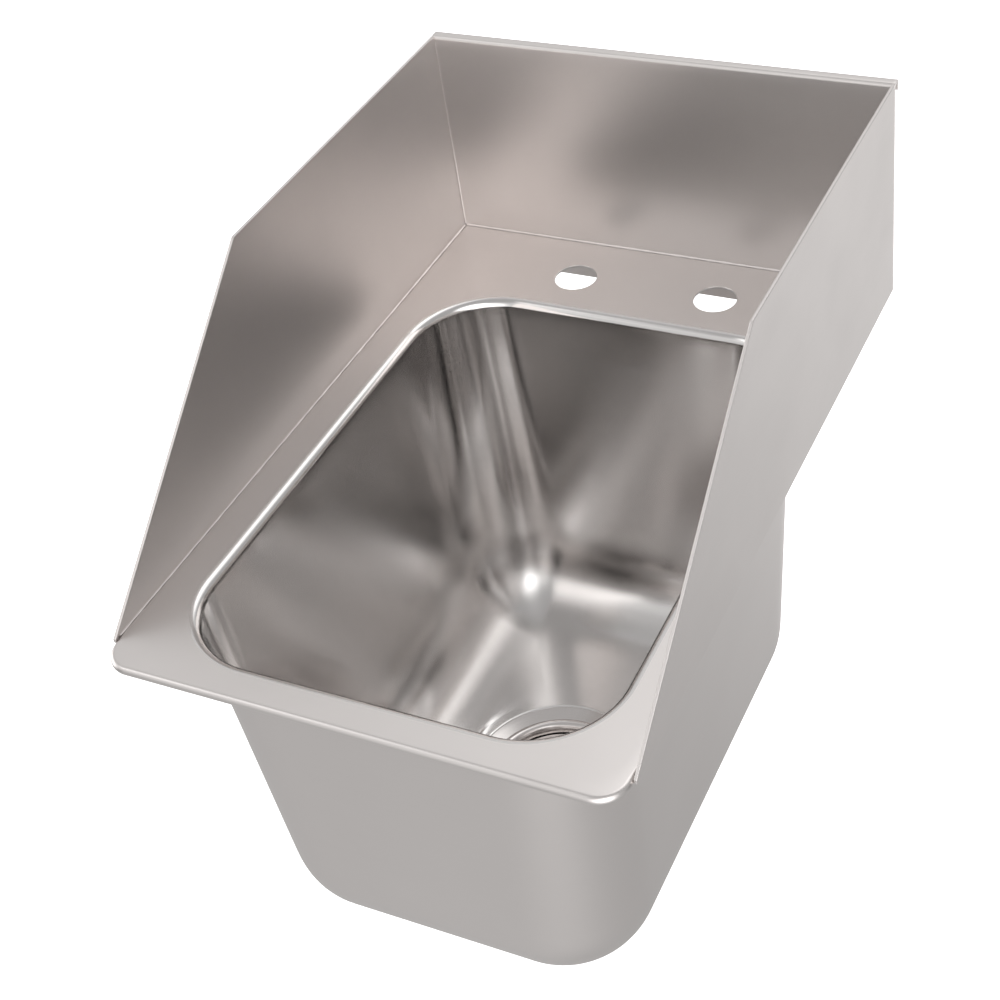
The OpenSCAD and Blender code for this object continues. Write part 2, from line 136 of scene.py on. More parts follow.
def eased(points: Array, values: Array, reach: float, step: float) -> tuple[Array, Array]:
    """Spreads out the places where a line starts and stops bending, as drawn sheet does.

    The line's heading is averaged over reach with a bell curve and the line is drawn again from it. What
    the end then misses is shared out evenly along the line.

    Args:
        points: array of points with 2 coordinates.
        values: one value for each point, which is averaged too.
        reach: standard deviation of the bell curve.
        step: length of a step of the new line.

    Returns:
        The new line's points and values, in steps of equal length.
    """
    length = running_length(points)
    place = np.linspace(0, length[-1], round(length[-1] / step) + 1)
    even = np.column_stack([np.interp(place, length, points[:, i]) for i in range(2)])
    bell = np.exp(-0.5 * (np.arange(-3 * reach, 3 * reach + step, step) / reach) ** 2)
    bell /= bell.sum()
    pad = len(bell) // 2

    def averaged(row: Array) -> Array:
        """The row's running mean under the bell curve."""
        return np.convolve(np.pad(row, (pad, len(bell) - 1 - pad), mode="edge"), bell, mode="valid")

    ahead = np.diff(even, axis=0)
    heading = averaged(np.unwrap(np.arctan2(ahead[:, 1], ahead[:, 0])))
    stride = np.linalg.norm(ahead, axis=1)
    drawn = np.vstack([[0.0, 0.0], np.cumsum(np.column_stack([np.cos(heading), np.sin(heading)])
                                            * stride[:, None], axis=0)]) + even[0]
    drawn += (even[-1] - drawn[-1]) * (place / place[-1])[:, None]
    return drawn, averaged(np.interp(place, length, values))


def grid_mesh(name: str, points: Array, wrap_rows: bool = False, caps: bool = False,
              crease: float = 40.0) -> bpy.types.Object:
    """Makes a closed object from a grid of points, rows by columns, whose columns close on themselves.

    A face joins each point with the next in its row and in its column. The UV map holds distance in
    metres: u round the first row and v down the first column. The faces are turned outwards by the
    sign of the volume that they enclose.

    Args:
        name: the object's name.
        points: array of rows, columns and 3 coordinates.
        wrap_rows: whether the last row joins the first.
        caps: whether the first and last rows are filled.
        crease: angle in degrees over which an edge stays sharp.

    Returns:
        The object, linked to the scene.
    """
    rows, cols = points.shape[:2]
    row, col = np.meshgrid(np.arange(rows if wrap_rows else rows - 1), np.arange(cols), indexing="ij")
    row, col = row.ravel(), col.ravel()
    row_next, col_next = (row + 1) % rows, (col + 1) % cols
    quads = np.column_stack([row * cols + col, row * cols + col_next,
                             row_next * cols + col_next, row_next * cols + col])
    ring = np.vstack([points[0], points[0][:1]])
    down = np.vstack([points[:, 0], points[:1, 0]])
    along, across = running_length(ring), running_length(down)
    corner_u = np.column_stack([along[col], along[col + 1], along[col + 1], along[col]])
    corner_v = np.column_stack([across[row], across[row], across[row + 1], across[row + 1]])
    uv = np.stack([corner_u, corner_v], axis=2).reshape(-1, 2)
    verts = points.reshape(-1, 3)
    a, b, c, d = (verts[quads[:, i]] for i in range(4))
    volume = (a * (np.cross(b, c) + np.cross(c, d))).sum()
    loops, sizes = quads.ravel(), np.full(len(quads), 4)
    if caps:
        first, last = np.arange(cols)[::-1], np.arange(cols) + (rows - 1) * cols
        p, q = verts[first], verts[last]
        for end in (p, q):
            volume += (np.cross(end[1:-1], end[2:]) @ end[0]).sum()
        loops = np.concatenate([loops, first, last])
        sizes = np.concatenate([sizes, [cols, cols]])
        uv = np.vstack([uv, (p - p[0])[:, :2], (q - q[0])[:, :2]])
    starts = np.concatenate([[0], np.cumsum(sizes)[:-1]])
    mesh = bpy.data.meshes.new(name)
    mesh.vertices.add(len(verts))
    mesh.vertices.foreach_set("co", verts.astype(np.float32).ravel())
    mesh.loops.add(len(loops))
    mesh.loops.foreach_set("vertex_index", loops.astype(np.int32))
    mesh.polygons.add(len(sizes))
    mesh.polygons.foreach_set("loop_start", starts.astype(np.int32))
    mesh.update(calc_edges=True)
    mesh.uv_layers.new(name="length").data.foreach_set("uv", uv.astype(np.float32).ravel())
    if volume < 0:
        mesh.flip_normals()
    mesh.shade_smooth()
    mesh.set_sharp_from_angle(angle=math.radians(crease))
    mesh.validate()
    obj = bpy.data.objects.new(name, mesh)
    bpy.context.collection.objects.link(obj)
    return obj


@dataclass(frozen=True)
class Thread:
    """A screw thread on part of a turned profile.

    Attributes:
        low: height of its lower end.
        high: height of its upper end.
        pitch: rise of one turn.
        depth: how far the root lies under the crest.
        outside: least radius of the points that carry it.
    """

    low: float
    high: float
    pitch: float
    depth: float
    outside: float

    def sunk(self, radius: Array, height: Array, turn: Array) -> Array:
        """How far each point sinks: depth times a rounded saw of height over pitch plus the share of a turn.

        Args:
            radius: radius of each row.
            height: height of each row.
            turn: angle of each column.

        Returns:
            An array of rows by columns.
        """
        phase = height / self.pitch + turn / (2 * np.pi)
        inside = (radius >= self.outside) & (height > self.low) & (height < self.high)
        fade = np.clip(np.minimum(height - self.low, self.high - height) / self.pitch, 0, 1)
        return self.depth * (0.5 - 0.5 * np.cos(2 * np.pi * phase)) * fade * inside


def revolve(name: str, profile: Array, centre: tuple[float, float], steps: int = 144,
            crease: float = 40.0, thread: Thread | None = None) -> bpy.types.Object:
    """Turns a closed profile of radius and height about the upright line through centre.

    Args:
        name: the object's name.
        profile: array of radius and height, which closes on itself.
        centre: x and y of the axis.
        steps: number of steps round the turn.
        crease: angle in degrees over which an edge stays sharp.
        thread: a thread that is cut into the profile's outside.

    Returns:
        The object.
    """
    turn = np.linspace(0.0, 2 * np.pi, steps, endpoint=False)[None]
    radius, height = profile[:, :1], profile[:, 1:]
    if thread:
        radius = radius - thread.sunk(radius, height, turn)
    x = centre[0] + radius * np.cos(turn)
    y = centre[1] + radius * np.sin(turn)
    z = np.broadcast_to(height, x.shape)
    return grid_mesh(name, np.stack([x, y, z], axis=2), wrap_rows=True, crease=crease)


def tube(name: str, path: Array, radius: Array, sides: int = 10) -> bpy.types.Object:
    """Carries a circle along a path: each ring lies square to the path, with that point's radius.

    Args:
        name: the object's name.
        path: array of points with 3 coordinates.
        radius: radius at each point.
        sides: number of sides of the circle.

    Returns:
        The object, with its ends filled.
    """
    ahead = np.gradient(path, axis=0)
    ahead /= np.linalg.norm(ahead, axis=1, keepdims=True)
    helper = np.array([0.0, 0.0, 1.0]) if abs(ahead[0, 2]) < 0.8 else np.array([1.0, 0.0, 0.0])
    side = np.cross(ahead, helper)
    side /= np.linalg.norm(side, axis=1, keepdims=True)
    up = np.cross(side, ahead)
    turn = np.linspace(0.0, 2 * np.pi, sides, endpoint=False)[None, :, None]
    circle = side[:, None] * np.cos(turn) + up[:, None] * np.sin(turn)
    return grid_mesh(name, path[:, None] + radius[:, None, None] * circle, caps=True, crease=60.0)


# Finishes


class Grain(Enum):
    """Which way the polishing lines of a finish run, in the piece's own coordinates."""

    ALONG_X = "object x"
    ALONG_Y = "object y"
    ALONG_Z = "object z"
    ALONG_U = "map u"


def new_group(name: str, inputs: dict[str, float | None],
              outputs: tuple[str, ...]) -> bpy.types.ShaderNodeTree:
    """Makes an empty shader node group.

    Args:
        name: the group's name.
        inputs: socket names with their starting value, or None for a vector.
        outputs: names of the value sockets that it puts out.

    Returns:
        The group, with its input and output nodes.
    """
    group = bpy.data.node_groups.new(name, "ShaderNodeTree")
    for label, value in inputs.items():
        kind = "NodeSocketVector" if value is None else "NodeSocketFloat"
        socket = group.interface.new_socket(label, in_out="INPUT", socket_type=kind)
        if value is not None:
            socket.default_value = value
    for label in outputs:
        group.interface.new_socket(label, in_out="OUTPUT", socket_type="NodeSocketFloat")
    group.nodes.new("NodeGroupInput")
    group.nodes.new("NodeGroupOutput")
    return group


def math_node(tree: bpy.types.NodeTree, operation: str, *values: bpy.types.NodeSocket | float,
              clamp: bool = False) -> bpy.types.NodeSocket:
    """Adds a Math node.

    Args:
        tree: the node tree that gets it.
        operation: what it does.
        values: its inputs, each a socket or a plain number.
        clamp: whether its result is held between 0 and 1.

    Returns:
        Its output socket.
    """
    node = tree.nodes.new("ShaderNodeMath")
    node.operation = operation
    node.use_clamp = clamp
    for socket, value in zip(node.inputs, values):
        if isinstance(value, (int, float)):
            socket.default_value = value
        else:
            tree.links.new(value, socket)
    return node.outputs[0]


def brushed_grain_group() -> bpy.types.ShaderNodeTree:
    """Fine parallel lines: noise that is stretched along the grain, in two sizes.

    Returns:
        A group whose outputs are Height, the lines' relief from 0 to 1, and Streak, a slower band along them.
    """
    group = new_group("brushed_grain", {"Vector": None, "Pitch": 0.4, "Stretch": 60.0}, ("Height", "Streak"))
    nodes, links = group.nodes, group.links
    source, sink = nodes["Group Input"], nodes["Group Output"]
    lines = math_node(group, "DIVIDE", 1.0 / MM, source.outputs["Pitch"])
    along = math_node(group, "DIVIDE", lines, source.outputs["Stretch"])
    for label, factor, detail in (("Height", 1.0, 3.0), ("Streak", 0.09, 2.0)):
        scale = nodes.new("ShaderNodeCombineXYZ")
        links.new(math_node(group, "MULTIPLY", along, factor * 1.4), scale.inputs["X"])
        links.new(math_node(group, "MULTIPLY", lines, factor), scale.inputs["Y"])
        links.new(math_node(group, "MULTIPLY", lines, factor), scale.inputs["Z"])
        product = nodes.new("ShaderNodeVectorMath")
        product.operation = "MULTIPLY"
        links.new(source.outputs["Vector"], product.inputs[0])
        links.new(scale.outputs[0], product.inputs[1])
        noise = nodes.new("ShaderNodeTexNoise")
        noise.inputs["Scale"].default_value = 1.0
        noise.inputs["Detail"].default_value = detail
        noise.inputs["Roughness"].default_value = 0.6
        links.new(product.outputs[0], noise.inputs["Vector"])
        links.new(noise.outputs["Fac"], sink.inputs[label])
    return group


def blotch_group() -> bpy.types.ShaderNodeTree:
    """Soft uneven patches, as buffing leaves them: smooth noise with its contrast drawn out.

    Returns:
        A group whose output Mask runs from 0 to 1.
    """
    group = new_group("buffing_patches", {"Vector": None, "Scale": 12.0, "Contrast": 1.6}, ("Mask",))
    nodes, links = group.nodes, group.links
    source, sink = nodes["Group Input"], nodes["Group Output"]
    noise = nodes.new("ShaderNodeTexNoise")
    noise.inputs["Detail"].default_value = 3.0
    noise.inputs["Distortion"].default_value = 0.4
    links.new(source.outputs["Vector"], noise.inputs["Vector"])
    links.new(source.outputs["Scale"], noise.inputs["Scale"])
    centred = math_node(group, "SUBTRACT", noise.outputs["Fac"], 0.5)
    drawn = math_node(group, "MULTIPLY", centred, source.outputs["Contrast"])
    links.new(math_node(group, "ADD", drawn, 0.5, clamp=True), sink.inputs["Mask"])
    return group


class Groups:
    """The shared shader node groups, each made once, when it is first asked for."""

    _made: dict[str, bpy.types.ShaderNodeTree] = {}

    @classmethod
    def get(cls, maker: Callable[[], bpy.types.ShaderNodeTree]) -> bpy.types.ShaderNodeTree:
        """The group that a function makes.

        Args:
            maker: the function, which is called only the first time.

        Returns:
            The group.
        """
        key = maker.__name__
        if key not in cls._made:
            cls._made[key] = maker()
        return cls._made[key]


@dataclass(frozen=True)
class SteelFinish:
    """A polished steel surface: its colour, its gloss, and the lines and patches that polishing leaves.

    Attributes:
        name: the material's name.
        colour: reflected colour, linear.
        roughness: mean roughness.
        grain: which way the polishing lines run.
        pitch: width of a polishing line in mm.
        stretch: length of a line over its width.
        relief: height of the lines in mm.
        line_gloss: how much the lines change the roughness.
        patch_gloss: how much the buffing patches change the roughness.
        patch_scale: patches per metre.
        patch_shade: how much darker the patches are.
        anisotropy: how far reflections spread across the lines, which then run along the map's u.
        polish: how much smoother the points are where the mesh says "polish".
    """

    name: str
    colour: tuple[float, float, float] = (0.72, 0.684, 0.667)
    roughness: float = 0.30
    grain: Grain = Grain.ALONG_X
    pitch: float = 0.35
    stretch: float = 60.0
    relief: float = 0.004
    line_gloss: float = 0.10
    patch_gloss: float = 0.06
    patch_scale: float = 14.0
    patch_shade: float = 0.05
    anisotropy: float = 0.0
    polish: float = 0.0

    def build(self) -> bpy.types.Material:
        """Makes the material.

        Returns:
            A material with one Principled shader, whose roughness, colour and normal follow the groups.
        """
        material = bpy.data.materials.new(self.name)
        material.use_nodes = True
        tree = material.node_tree
        shader = tree.nodes["Principled BSDF"]
        shader.inputs["Metallic"].default_value = 1.0
        if self.anisotropy:
            ahead = tree.nodes.new("ShaderNodeTangent")
            ahead.direction_type = "UV_MAP"
            ahead.uv_map = "length"
            tree.links.new(ahead.outputs["Tangent"], shader.inputs["Tangent"])
            shader.inputs["Anisotropic"].default_value = self.anisotropy
            shader.inputs["Anisotropic Rotation"].default_value = 0.25
        vector = self._grain_vector(tree)
        lines = tree.nodes.new("ShaderNodeGroup")
        lines.node_tree = Groups.get(brushed_grain_group)
        lines.inputs["Pitch"].default_value = self.pitch
        lines.inputs["Stretch"].default_value = self.stretch
        tree.links.new(vector, lines.inputs["Vector"])
        patches = tree.nodes.new("ShaderNodeGroup")
        patches.node_tree = Groups.get(blotch_group)
        patches.inputs["Scale"].default_value = self.patch_scale
        place = tree.nodes.new("ShaderNodeTexCoord")
        tree.links.new(place.outputs["Object"], patches.inputs["Vector"])
        rough = math_node(tree, "MULTIPLY_ADD", lines.outputs["Streak"], self.line_gloss,
                          self.roughness - 0.5 * self.line_gloss)
        rough = math_node(tree, "MULTIPLY_ADD", patches.outputs["Mask"], self.patch_gloss, rough)
        if self.polish:
            worn = tree.nodes.new("ShaderNodeAttribute")
            worn.attribute_name = "polish"
            rough = math_node(tree, "MULTIPLY_ADD", worn.outputs["Fac"], -self.polish, rough)
        tree.links.new(math_node(tree, "MAXIMUM", rough, 0.05, clamp=True), shader.inputs["Roughness"])
        shade = tree.nodes.new("ShaderNodeMix")
        shade.data_type = "RGBA"
        shade.inputs["A"].default_value = (*self.colour, 1.0)
        shade.inputs["B"].default_value = (*(c * (1.0 - self.patch_shade) for c in self.colour), 1.0)
        tree.links.new(patches.outputs["Mask"], shade.inputs["Factor"])
        tree.links.new(shade.outputs["Result"], shader.inputs["Base Color"])
        bump = tree.nodes.new("ShaderNodeBump")
        bump.inputs["Distance"].default_value = self.relief * MM
        bump.inputs["Strength"].default_value = 1.0
        tree.links.new(lines.outputs["Height"], bump.inputs["Height"])
        tree.links.new(bump.outputs["Normal"], shader.inputs["Normal"])
        return material

    def _grain_vector(self, tree: bpy.types.NodeTree) -> bpy.types.NodeSocket:
        """The coordinates turned so that x runs along the polishing lines.

        Args:
            tree: the material's node tree.

        Returns:
            A vector socket.
        """
        place = tree.nodes.new("ShaderNodeTexCoord")
        source = place.outputs["UV" if self.grain is Grain.ALONG_U else "Object"]
        turn = tree.nodes.new("ShaderNodeMapping")
        turn.inputs["Rotation"].default_value = {
            Grain.ALONG_X: (0, 0, 0), Grain.ALONG_U: (0, 0, 0),
            Grain.ALONG_Y: (0, 0, math.radians(90)), Grain.ALONG_Z: (0, math.radians(90), 0)}[self.grain]
        tree.links.new(source, turn.inputs["Vector"])
        return turn.outputs["Vector"]


@dataclass(frozen=True)
class MouldedFinish:
    """A dull moulded or pressed material, such as rubber or fibre.

    Attributes:
        name: the material's name.
        colour: base colour, linear.
        roughness: mean roughness.
        speckle: how much lighter the specks are.
        size: size of a speck in mm.
    """

    name: str
    colour: tuple[float, float, float]
    roughness: float = 0.7
    speckle: float = 0.4
    size: float = 0.8

    def build(self) -> bpy.types.Material:
        """Makes the material.

        Returns:
            A material with a speckled colour, an uneven gloss and a fine relief.
        """
        material = bpy.data.materials.new(self.name)
        material.use_nodes = True
        tree = material.node_tree
        shader = tree.nodes["Principled BSDF"]
        place = tree.nodes.new("ShaderNodeTexCoord")
        patches = tree.nodes.new("ShaderNodeGroup")
        patches.node_tree = Groups.get(blotch_group)
        patches.inputs["Scale"].default_value = 1.0 / (self.size * MM)
        tree.links.new(place.outputs["Object"], patches.inputs["Vector"])
        shade = tree.nodes.new("ShaderNodeMix")
        shade.data_type = "RGBA"
        shade.inputs["A"].default_value = (*self.colour, 1.0)
        shade.inputs["B"].default_value = (*(min(1.0, c * (1.0 + self.speckle)) for c in self.colour), 1.0)
        tree.links.new(patches.outputs["Mask"], shade.inputs["Factor"])
        tree.links.new(shade.outputs["Result"], shader.inputs["Base Color"])
        rough = math_node(tree, "MULTIPLY_ADD", patches.outputs["Mask"], 0.15, self.roughness - 0.08)
        tree.links.new(rough, shader.inputs["Roughness"])
        bump = tree.nodes.new("ShaderNodeBump")
        bump.inputs["Distance"].default_value = 0.05 * MM
        tree.links.new(patches.outputs["Mask"], bump.inputs["Height"])
        tree.links.new(bump.outputs["Normal"], shader.inputs["Normal"])
        return material


@dataclass
class Finishes:
    """The finishes of this sink, each built once."""

    deck: bpy.types.Material = field(init=False)
    back: bpy.types.Material = field(init=False)
    side: bpy.types.Material = field(init=False)
    bowl: bpy.types.Material = field(init=False)
    bowl_back: bpy.types.Material = field(init=False)
    weld: bpy.types.Material = field(init=False)
    drain: bpy.types.Material = field(init=False)
    pressed: bpy.types.Material = field(init=False)
    rubber: bpy.types.Material = field(init=False)
    fibre: bpy.types.Material = field(init=False)

    def __post_init__(self) -> None:
        """Builds the materials."""
        self.deck = SteelFinish("satin_deck", roughness=0.305, line_gloss=0.04, patch_gloss=0.03,
                                grain=Grain.ALONG_X).build()
        self.back = SteelFinish("satin_back", roughness=0.33, line_gloss=0.04, patch_gloss=0.03,
                                grain=Grain.ALONG_X).build()
        self.side = SteelFinish("satin_side", roughness=0.43, line_gloss=0.04, patch_gloss=0.03,
                                grain=Grain.ALONG_Y).build()
        self.bowl = SteelFinish("polished_bowl", colour=(0.717, 0.697, 0.686), roughness=0.225,
                                grain=Grain.ALONG_U, pitch=0.7, stretch=16.0, relief=0.011, line_gloss=0.04,
                                patch_gloss=0.02, patch_scale=10.0, anisotropy=0.8, polish=0.09).build()
        self.bowl_back = SteelFinish("satin_bowl_outside", roughness=0.40, grain=Grain.ALONG_U,
                                     line_gloss=0.05, patch_gloss=0.04, patch_scale=7.0).build()
        # The weld's colour, lighter and pinker than the sheets, is partly its own ground tone and partly a
        # painted highlight for the light its fillet reflects.
        self.weld = SteelFinish("ground_weld_tone_and_painted_highlight", colour=(0.76, 0.71, 0.69), roughness=0.34, pitch=0.8,
                                stretch=4.0, relief=0.02).build()
        self.drain = SteelFinish("bright_drain", roughness=0.16, grain=Grain.ALONG_U, pitch=0.3,
                                 stretch=40.0, relief=0.002).build()
        self.pressed = SteelFinish("pressed_steel", roughness=0.22, pitch=0.5, stretch=20.0,
                                   relief=0.003).build()
        self.rubber = MouldedFinish("black_rubber", (0.018, 0.018, 0.019)).build()
        self.fibre = MouldedFinish("pressed_fibre", (0.30, 0.22, 0.13), roughness=0.85, size=0.5).build()


# The sheet work


@dataclass
class SheetSizes:
    """Sizes of the sheet work in metres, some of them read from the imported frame.

    Attributes:
        sheet: thickness of the sheet.
        front_roll: outer radius of the rim's bend in front.
        side_bend: the same at the sides and the back.
        front_corner: radius of the rim's front corners.
        rear_corner: radius of its mitred rear corners.
        seat: how far the rim is folded in underneath.
        faucet_hole: radius of a faucet hole.
        faucet_pitch: distance between the faucet holes.
        open_corner: corner radius of the opening for the bowl.
        half_w: half the deck's width.
        front: y of its front.
        rear: y of its back.
        top: height of its top.
        bowl_y: y of the bowl's middle.
        open_x: half the opening's width.
        open_y: half its length.
        faucet_y: y of the faucet holes.
    """

    sheet: float = 1.5 * MM
    front_roll: float = 3.2 * MM
    side_bend: float = 2.0 * MM
    front_corner: float = 18.0 * MM
    rear_corner: float = 0.6 * MM
    seat: float = 12.0 * MM
    faucet_hole: float = 14.5 * MM
    faucet_pitch: float = 101.6 * MM
    open_corner: float = 59.0 * MM
    half_w: float = field(init=False)
    front: float = field(init=False)
    rear: float = field(init=False)
    top: float = field(init=False)
    bowl_y: float = field(init=False)
    open_x: float = field(init=False)
    open_y: float = field(init=False)
    faucet_y: float = field(init=False)

    def __post_init__(self) -> None:
        """Reads the places of the deck and the bowl's opening from the frame."""
        low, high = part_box("deck")
        self.half_w, self.front, self.rear, self.top = high[0], low[1], high[1], high[2]
        low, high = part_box("bowl")
        self.open_x, self.open_y = high[0], (high[1] - low[1]) / 2
        self.bowl_y = (high[1] + low[1]) / 2
        mounts = {m["name"]: m for m in frame["record"]["mounts"]}
        self.faucet_y = mounts["faucet_holes"]["pos_m"][1]


def rounded_ring(half: tuple[float, float], radii: tuple[float, float], centre_y: float,
                 straights: tuple[Array, Array], corner_steps: int) -> Array:
    """Points round a rectangle with rounded corners, from the right side round by the back.

    A straight is its two corner tangents mixed by the given shares, and a corner is a quarter circle.

    Args:
        half: half width and half length.
        radii: radius of the back corners and of the front corners.
        centre_y: y of the middle.
        straights: shares from 0 to 1 along the long and the short sides, the last one left out.
        corner_steps: steps of each corner.

    Returns:
        An array of points with 2 coordinates.
    """
    x, y = half
    back, front = radii
    turn = np.linspace(0.0, np.pi / 2, corner_steps, endpoint=False)
    cos, sin = np.cos(turn), np.sin(turn)
    long_side, short_side = straights
    right = np.column_stack([np.full(len(long_side), x), (front - y) + long_side * (2 * y - front - back)])
    corner = np.column_stack([x - back + back * cos, y - back + back * sin])
    rear = np.column_stack([(x - back) * (1 - 2 * short_side), np.full(len(short_side), y)])
    corner_2 = np.column_stack([back - x - back * sin, y - back + back * cos])
    left = np.column_stack([np.full(len(long_side), -x), (y - back) - long_side * (2 * y - front - back)])
    corner_3 = np.column_stack([front - x - front * cos, front - y - front * sin])
    fore = np.column_stack([(front - x) * (1 - 2 * short_side), np.full(len(short_side), -y)])
    corner_4 = np.column_stack([x - front + front * sin, front - y - front * cos])
    ring = np.vstack([right, corner, rear, corner_2, left, corner_3, fore, corner_4])
    return ring + np.array([0.0, centre_y])


LONG_SHARES = np.linspace(0, 1, 48, endpoint=False)
SHORT_SHARES = np.linspace(0, 1, 32, endpoint=False)
CORNER_STEPS = 24


@dataclass
class SheetWork:
    """The deck, the splashes, the rail and the ground welds between them.

    Attributes:
        finishes: the sink's finishes.
        sizes: the sizes that the pieces share.
        hole_edge: broken edge of the faucet holes.
        fold: outer radius of the backsplash's two bends.
        fold_drop: how far its fold hangs down behind.
        fold_reach: how far the fold stands out behind the side splashes.
        back_edge: broken edge of the backsplash.
        back_wave: greatest wave of the backsplash.
        side_edge: rounded edge of the side splashes.
        side_wave: greatest wave of the side splashes.
        side_corner: radius between a side splash's top edge and its slope.
        side_top: length of a side splash's top edge.
        weld_leg: mean leg of a weld.
    """

    finishes: Finishes
    sizes: SheetSizes = field(default_factory=SheetSizes)
    hole_edge: float = 0.25 * MM
    fold: float = 2.5 * MM
    fold_drop: float = 7.5 * MM
    fold_reach: float = 7.0 * MM
    back_edge: float = 0.3 * MM
    back_wave: float = 0.12 * MM
    side_edge: float = 0.5 * MM
    side_wave: float = 0.18 * MM
    side_corner: float = 4.0 * MM
    side_top: float = 255.0 * MM
    weld_leg: float = 0.75 * MM

    def build(self) -> None:
        """Makes every piece of the sheet work and puts it in place of its CAD node."""
        self.deck()
        self.backsplash()
        self.side_splashes()
        self.welds()
        rail = frame["nodes"]["rear_rail"]
        rail.data.materials.clear()
        rail.data.materials.append(self.finishes.back)
        LOG.info("sheet work dressed")

    def _outline(self, inset: float) -> Array:
        """The rim's outline seen from above, moved in by inset. Its rear corners stay mitred.

        Args:
            inset: distance in from the rim's outer face.

        Returns:
            An array of points with 2 coordinates.
        """
        s = self.sizes
        least = 0.3 * MM
        half = (s.half_w - inset, (s.rear - s.front) / 2 - inset)
        radii = (max(s.rear_corner - inset, least), max(s.front_corner - inset, least))
        return rounded_ring(half, radii, (s.rear + s.front) / 2, (LONG_SHARES, SHORT_SHARES), CORNER_STEPS)

    def _rim_loop(self, roll: float) -> Array:
        """The rim's section from the top round the roll and the seat, and back under the deck.

        Args:
            roll: outer radius of the upper bend.

        Returns:
            An array of inset and height.
        """
        s = self.sizes
        low = s.sheet
        return joined(
            arc((roll, s.top - roll), roll, 90, 180, 10),
            arc((low, low), low, 180, 270, 6),
            line((low, 0), (s.seat, 0), 3),
            line((s.seat, s.sheet * 0.98), (s.sheet * 1.2, s.sheet), 3),
            arc((roll, s.top - roll), roll - s.sheet, 180, 90, 8))

    def deck(self) -> None:
        """The deck: flat from the bowl's opening to the rim, rolled over in front, with two faucet holes."""
        s = self.sizes
        front, side = self._rim_loop(s.front_roll), self._rim_loop(s.side_bend)
        opening = rounded_ring((s.open_x, s.open_y), (s.open_corner, s.open_corner), s.bowl_y,
                               (LONG_SHARES, SHORT_SHARES), CORNER_STEPS)
        soft = np.clip((s.front + s.front_corner - self._outline(0.0)[:, 1]) / (2 * MM) + 1.0, 0, 1)[:, None]
        rings = []
        for (d_front, z_front), (d_side, z_side) in zip(front, side):
            flat = soft * self._outline(d_front) + (1 - soft) * self._outline(d_side)
            rings.append(np.column_stack([flat, soft * z_front + (1 - soft) * z_side]))
        first, last = rings[0], rings[-1]
        top, base = np.full(len(opening), s.top), np.full(len(opening), s.top - s.sheet)
        upper = [np.column_stack([opening + (first[:, :2] - opening) * k, top])
                 for k in (0.0, 0.02, 0.25, 0.5, 0.75)]
        lower = [np.column_stack([opening + (last[:, :2] - opening) * k, base])
                 for k in (0.75, 0.5, 0.25, 0.0)]
        obj = grid_mesh("deck_sheet", np.array(upper + rings + lower), wrap_rows=True, crease=35)
        self._drill(obj)
        self._finish(obj, self.finishes.deck, "deck")

    def _drill(self, obj: bpy.types.Object) -> None:
        """Cuts the two faucet holes, each with its edge broken, and applies the cuts.

        Args:
            obj: the deck.
        """
        s = self.sizes
        r, edge, axis = s.faucet_hole, self.hole_edge, 0.01 * MM
        top, low, high = s.top, s.top - s.sheet - 2 * MM, s.top + MM
        profile = np.array([[axis, low], [r, low], [r, top - edge], [r + edge, top], [r + edge, high],
                            [axis, high]])
        for side in (-1, 1):
            cutter = revolve("cutter", profile, (side * s.faucet_pitch / 2, s.faucet_y), steps=96)
            cut = obj.modifiers.new("hole", "BOOLEAN")
            cut.operation, cut.solver, cut.object = "DIFFERENCE", "EXACT", cutter
            bpy.context.view_layer.update()
            evaluated = obj.evaluated_get(bpy.context.evaluated_depsgraph_get())
            fresh = bpy.data.meshes.new_from_object(evaluated)
            obj.modifiers.clear()
            obj.data = fresh
            bpy.data.objects.remove(cutter)

    def _finish(self, obj: bpy.types.Object, material: bpy.types.Material, node: str) -> None:
        """Gives a piece its material and lets it stand for a CAD node of the sink body.

        Args:
            obj: the piece.
            material: its material.
            node: the CAD node's name.
        """
        obj.data.materials.clear()
        obj.data.materials.append(material)
        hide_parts(node)
        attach(obj, "sink")
        LOG.info("%s made", obj.name)

    def backsplash(self) -> None:
        """The backsplash: its section, with the fold to the rear along the top, carried along x."""
        low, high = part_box("backsplash")
        t, fold, drop, edge = self.sizes.sheet, self.fold, self.fold_drop, self.back_edge
        face, back, top = low[1], high[1], high[2]
        section = joined(
            line((face, low[2] + edge), (face, top - fold), 24),
            arc((face + fold, top - fold), fold, 180, 90, 10),
            arc((back - fold, top - fold), fold, 90, 0, 10),
            line((back, top - fold), (back, top - drop + edge), 2),
            line((back - edge, top - drop), (back - t + edge, top - drop), 1),
            line((back - t, top - drop + edge), (back - t, top - fold), 2),
            arc((back - fold, top - fold), fold - t, 0, 90, 6),
            arc((face + fold, top - fold), fold - t, 90, 180, 6),
            line((face + t, top - fold), (face + t, low[2] + edge), 24),
            line((face + t - edge, low[2]), (face + edge, low[2]), 1))
        half, end = high[0], 0.05 * MM
        middle = half - 2 * MM
        stations = np.concatenate([[-half, end - half, edge - half], np.linspace(-middle, middle, 49),
                                   [half - edge, half - end, half]])
        shrink = np.interp(half - np.abs(stations), [0, edge], [edge * 0.6, 0])
        inward = offset_line(section, -1.0) - section
        points = np.empty((len(stations), len(section), 3))
        points[:, :, 0] = stations[:, None]
        points[:, :, 1:] = section[None] + inward[None] * shrink[:, None, None]
        wave = self.back_wave * np.sin(stations / 0.11) * np.cos(stations / 0.043)
        depth = np.sin(np.pi * np.clip((section[:, 1] - low[2]) / (top - drop - low[2]), 0, 1))
        points[:, :, 1] += wave[:, None] * depth[None]
        obj = grid_mesh("backsplash_sheet", points, caps=True, crease=35)
        self._finish(obj, self.finishes.back, "backsplash")

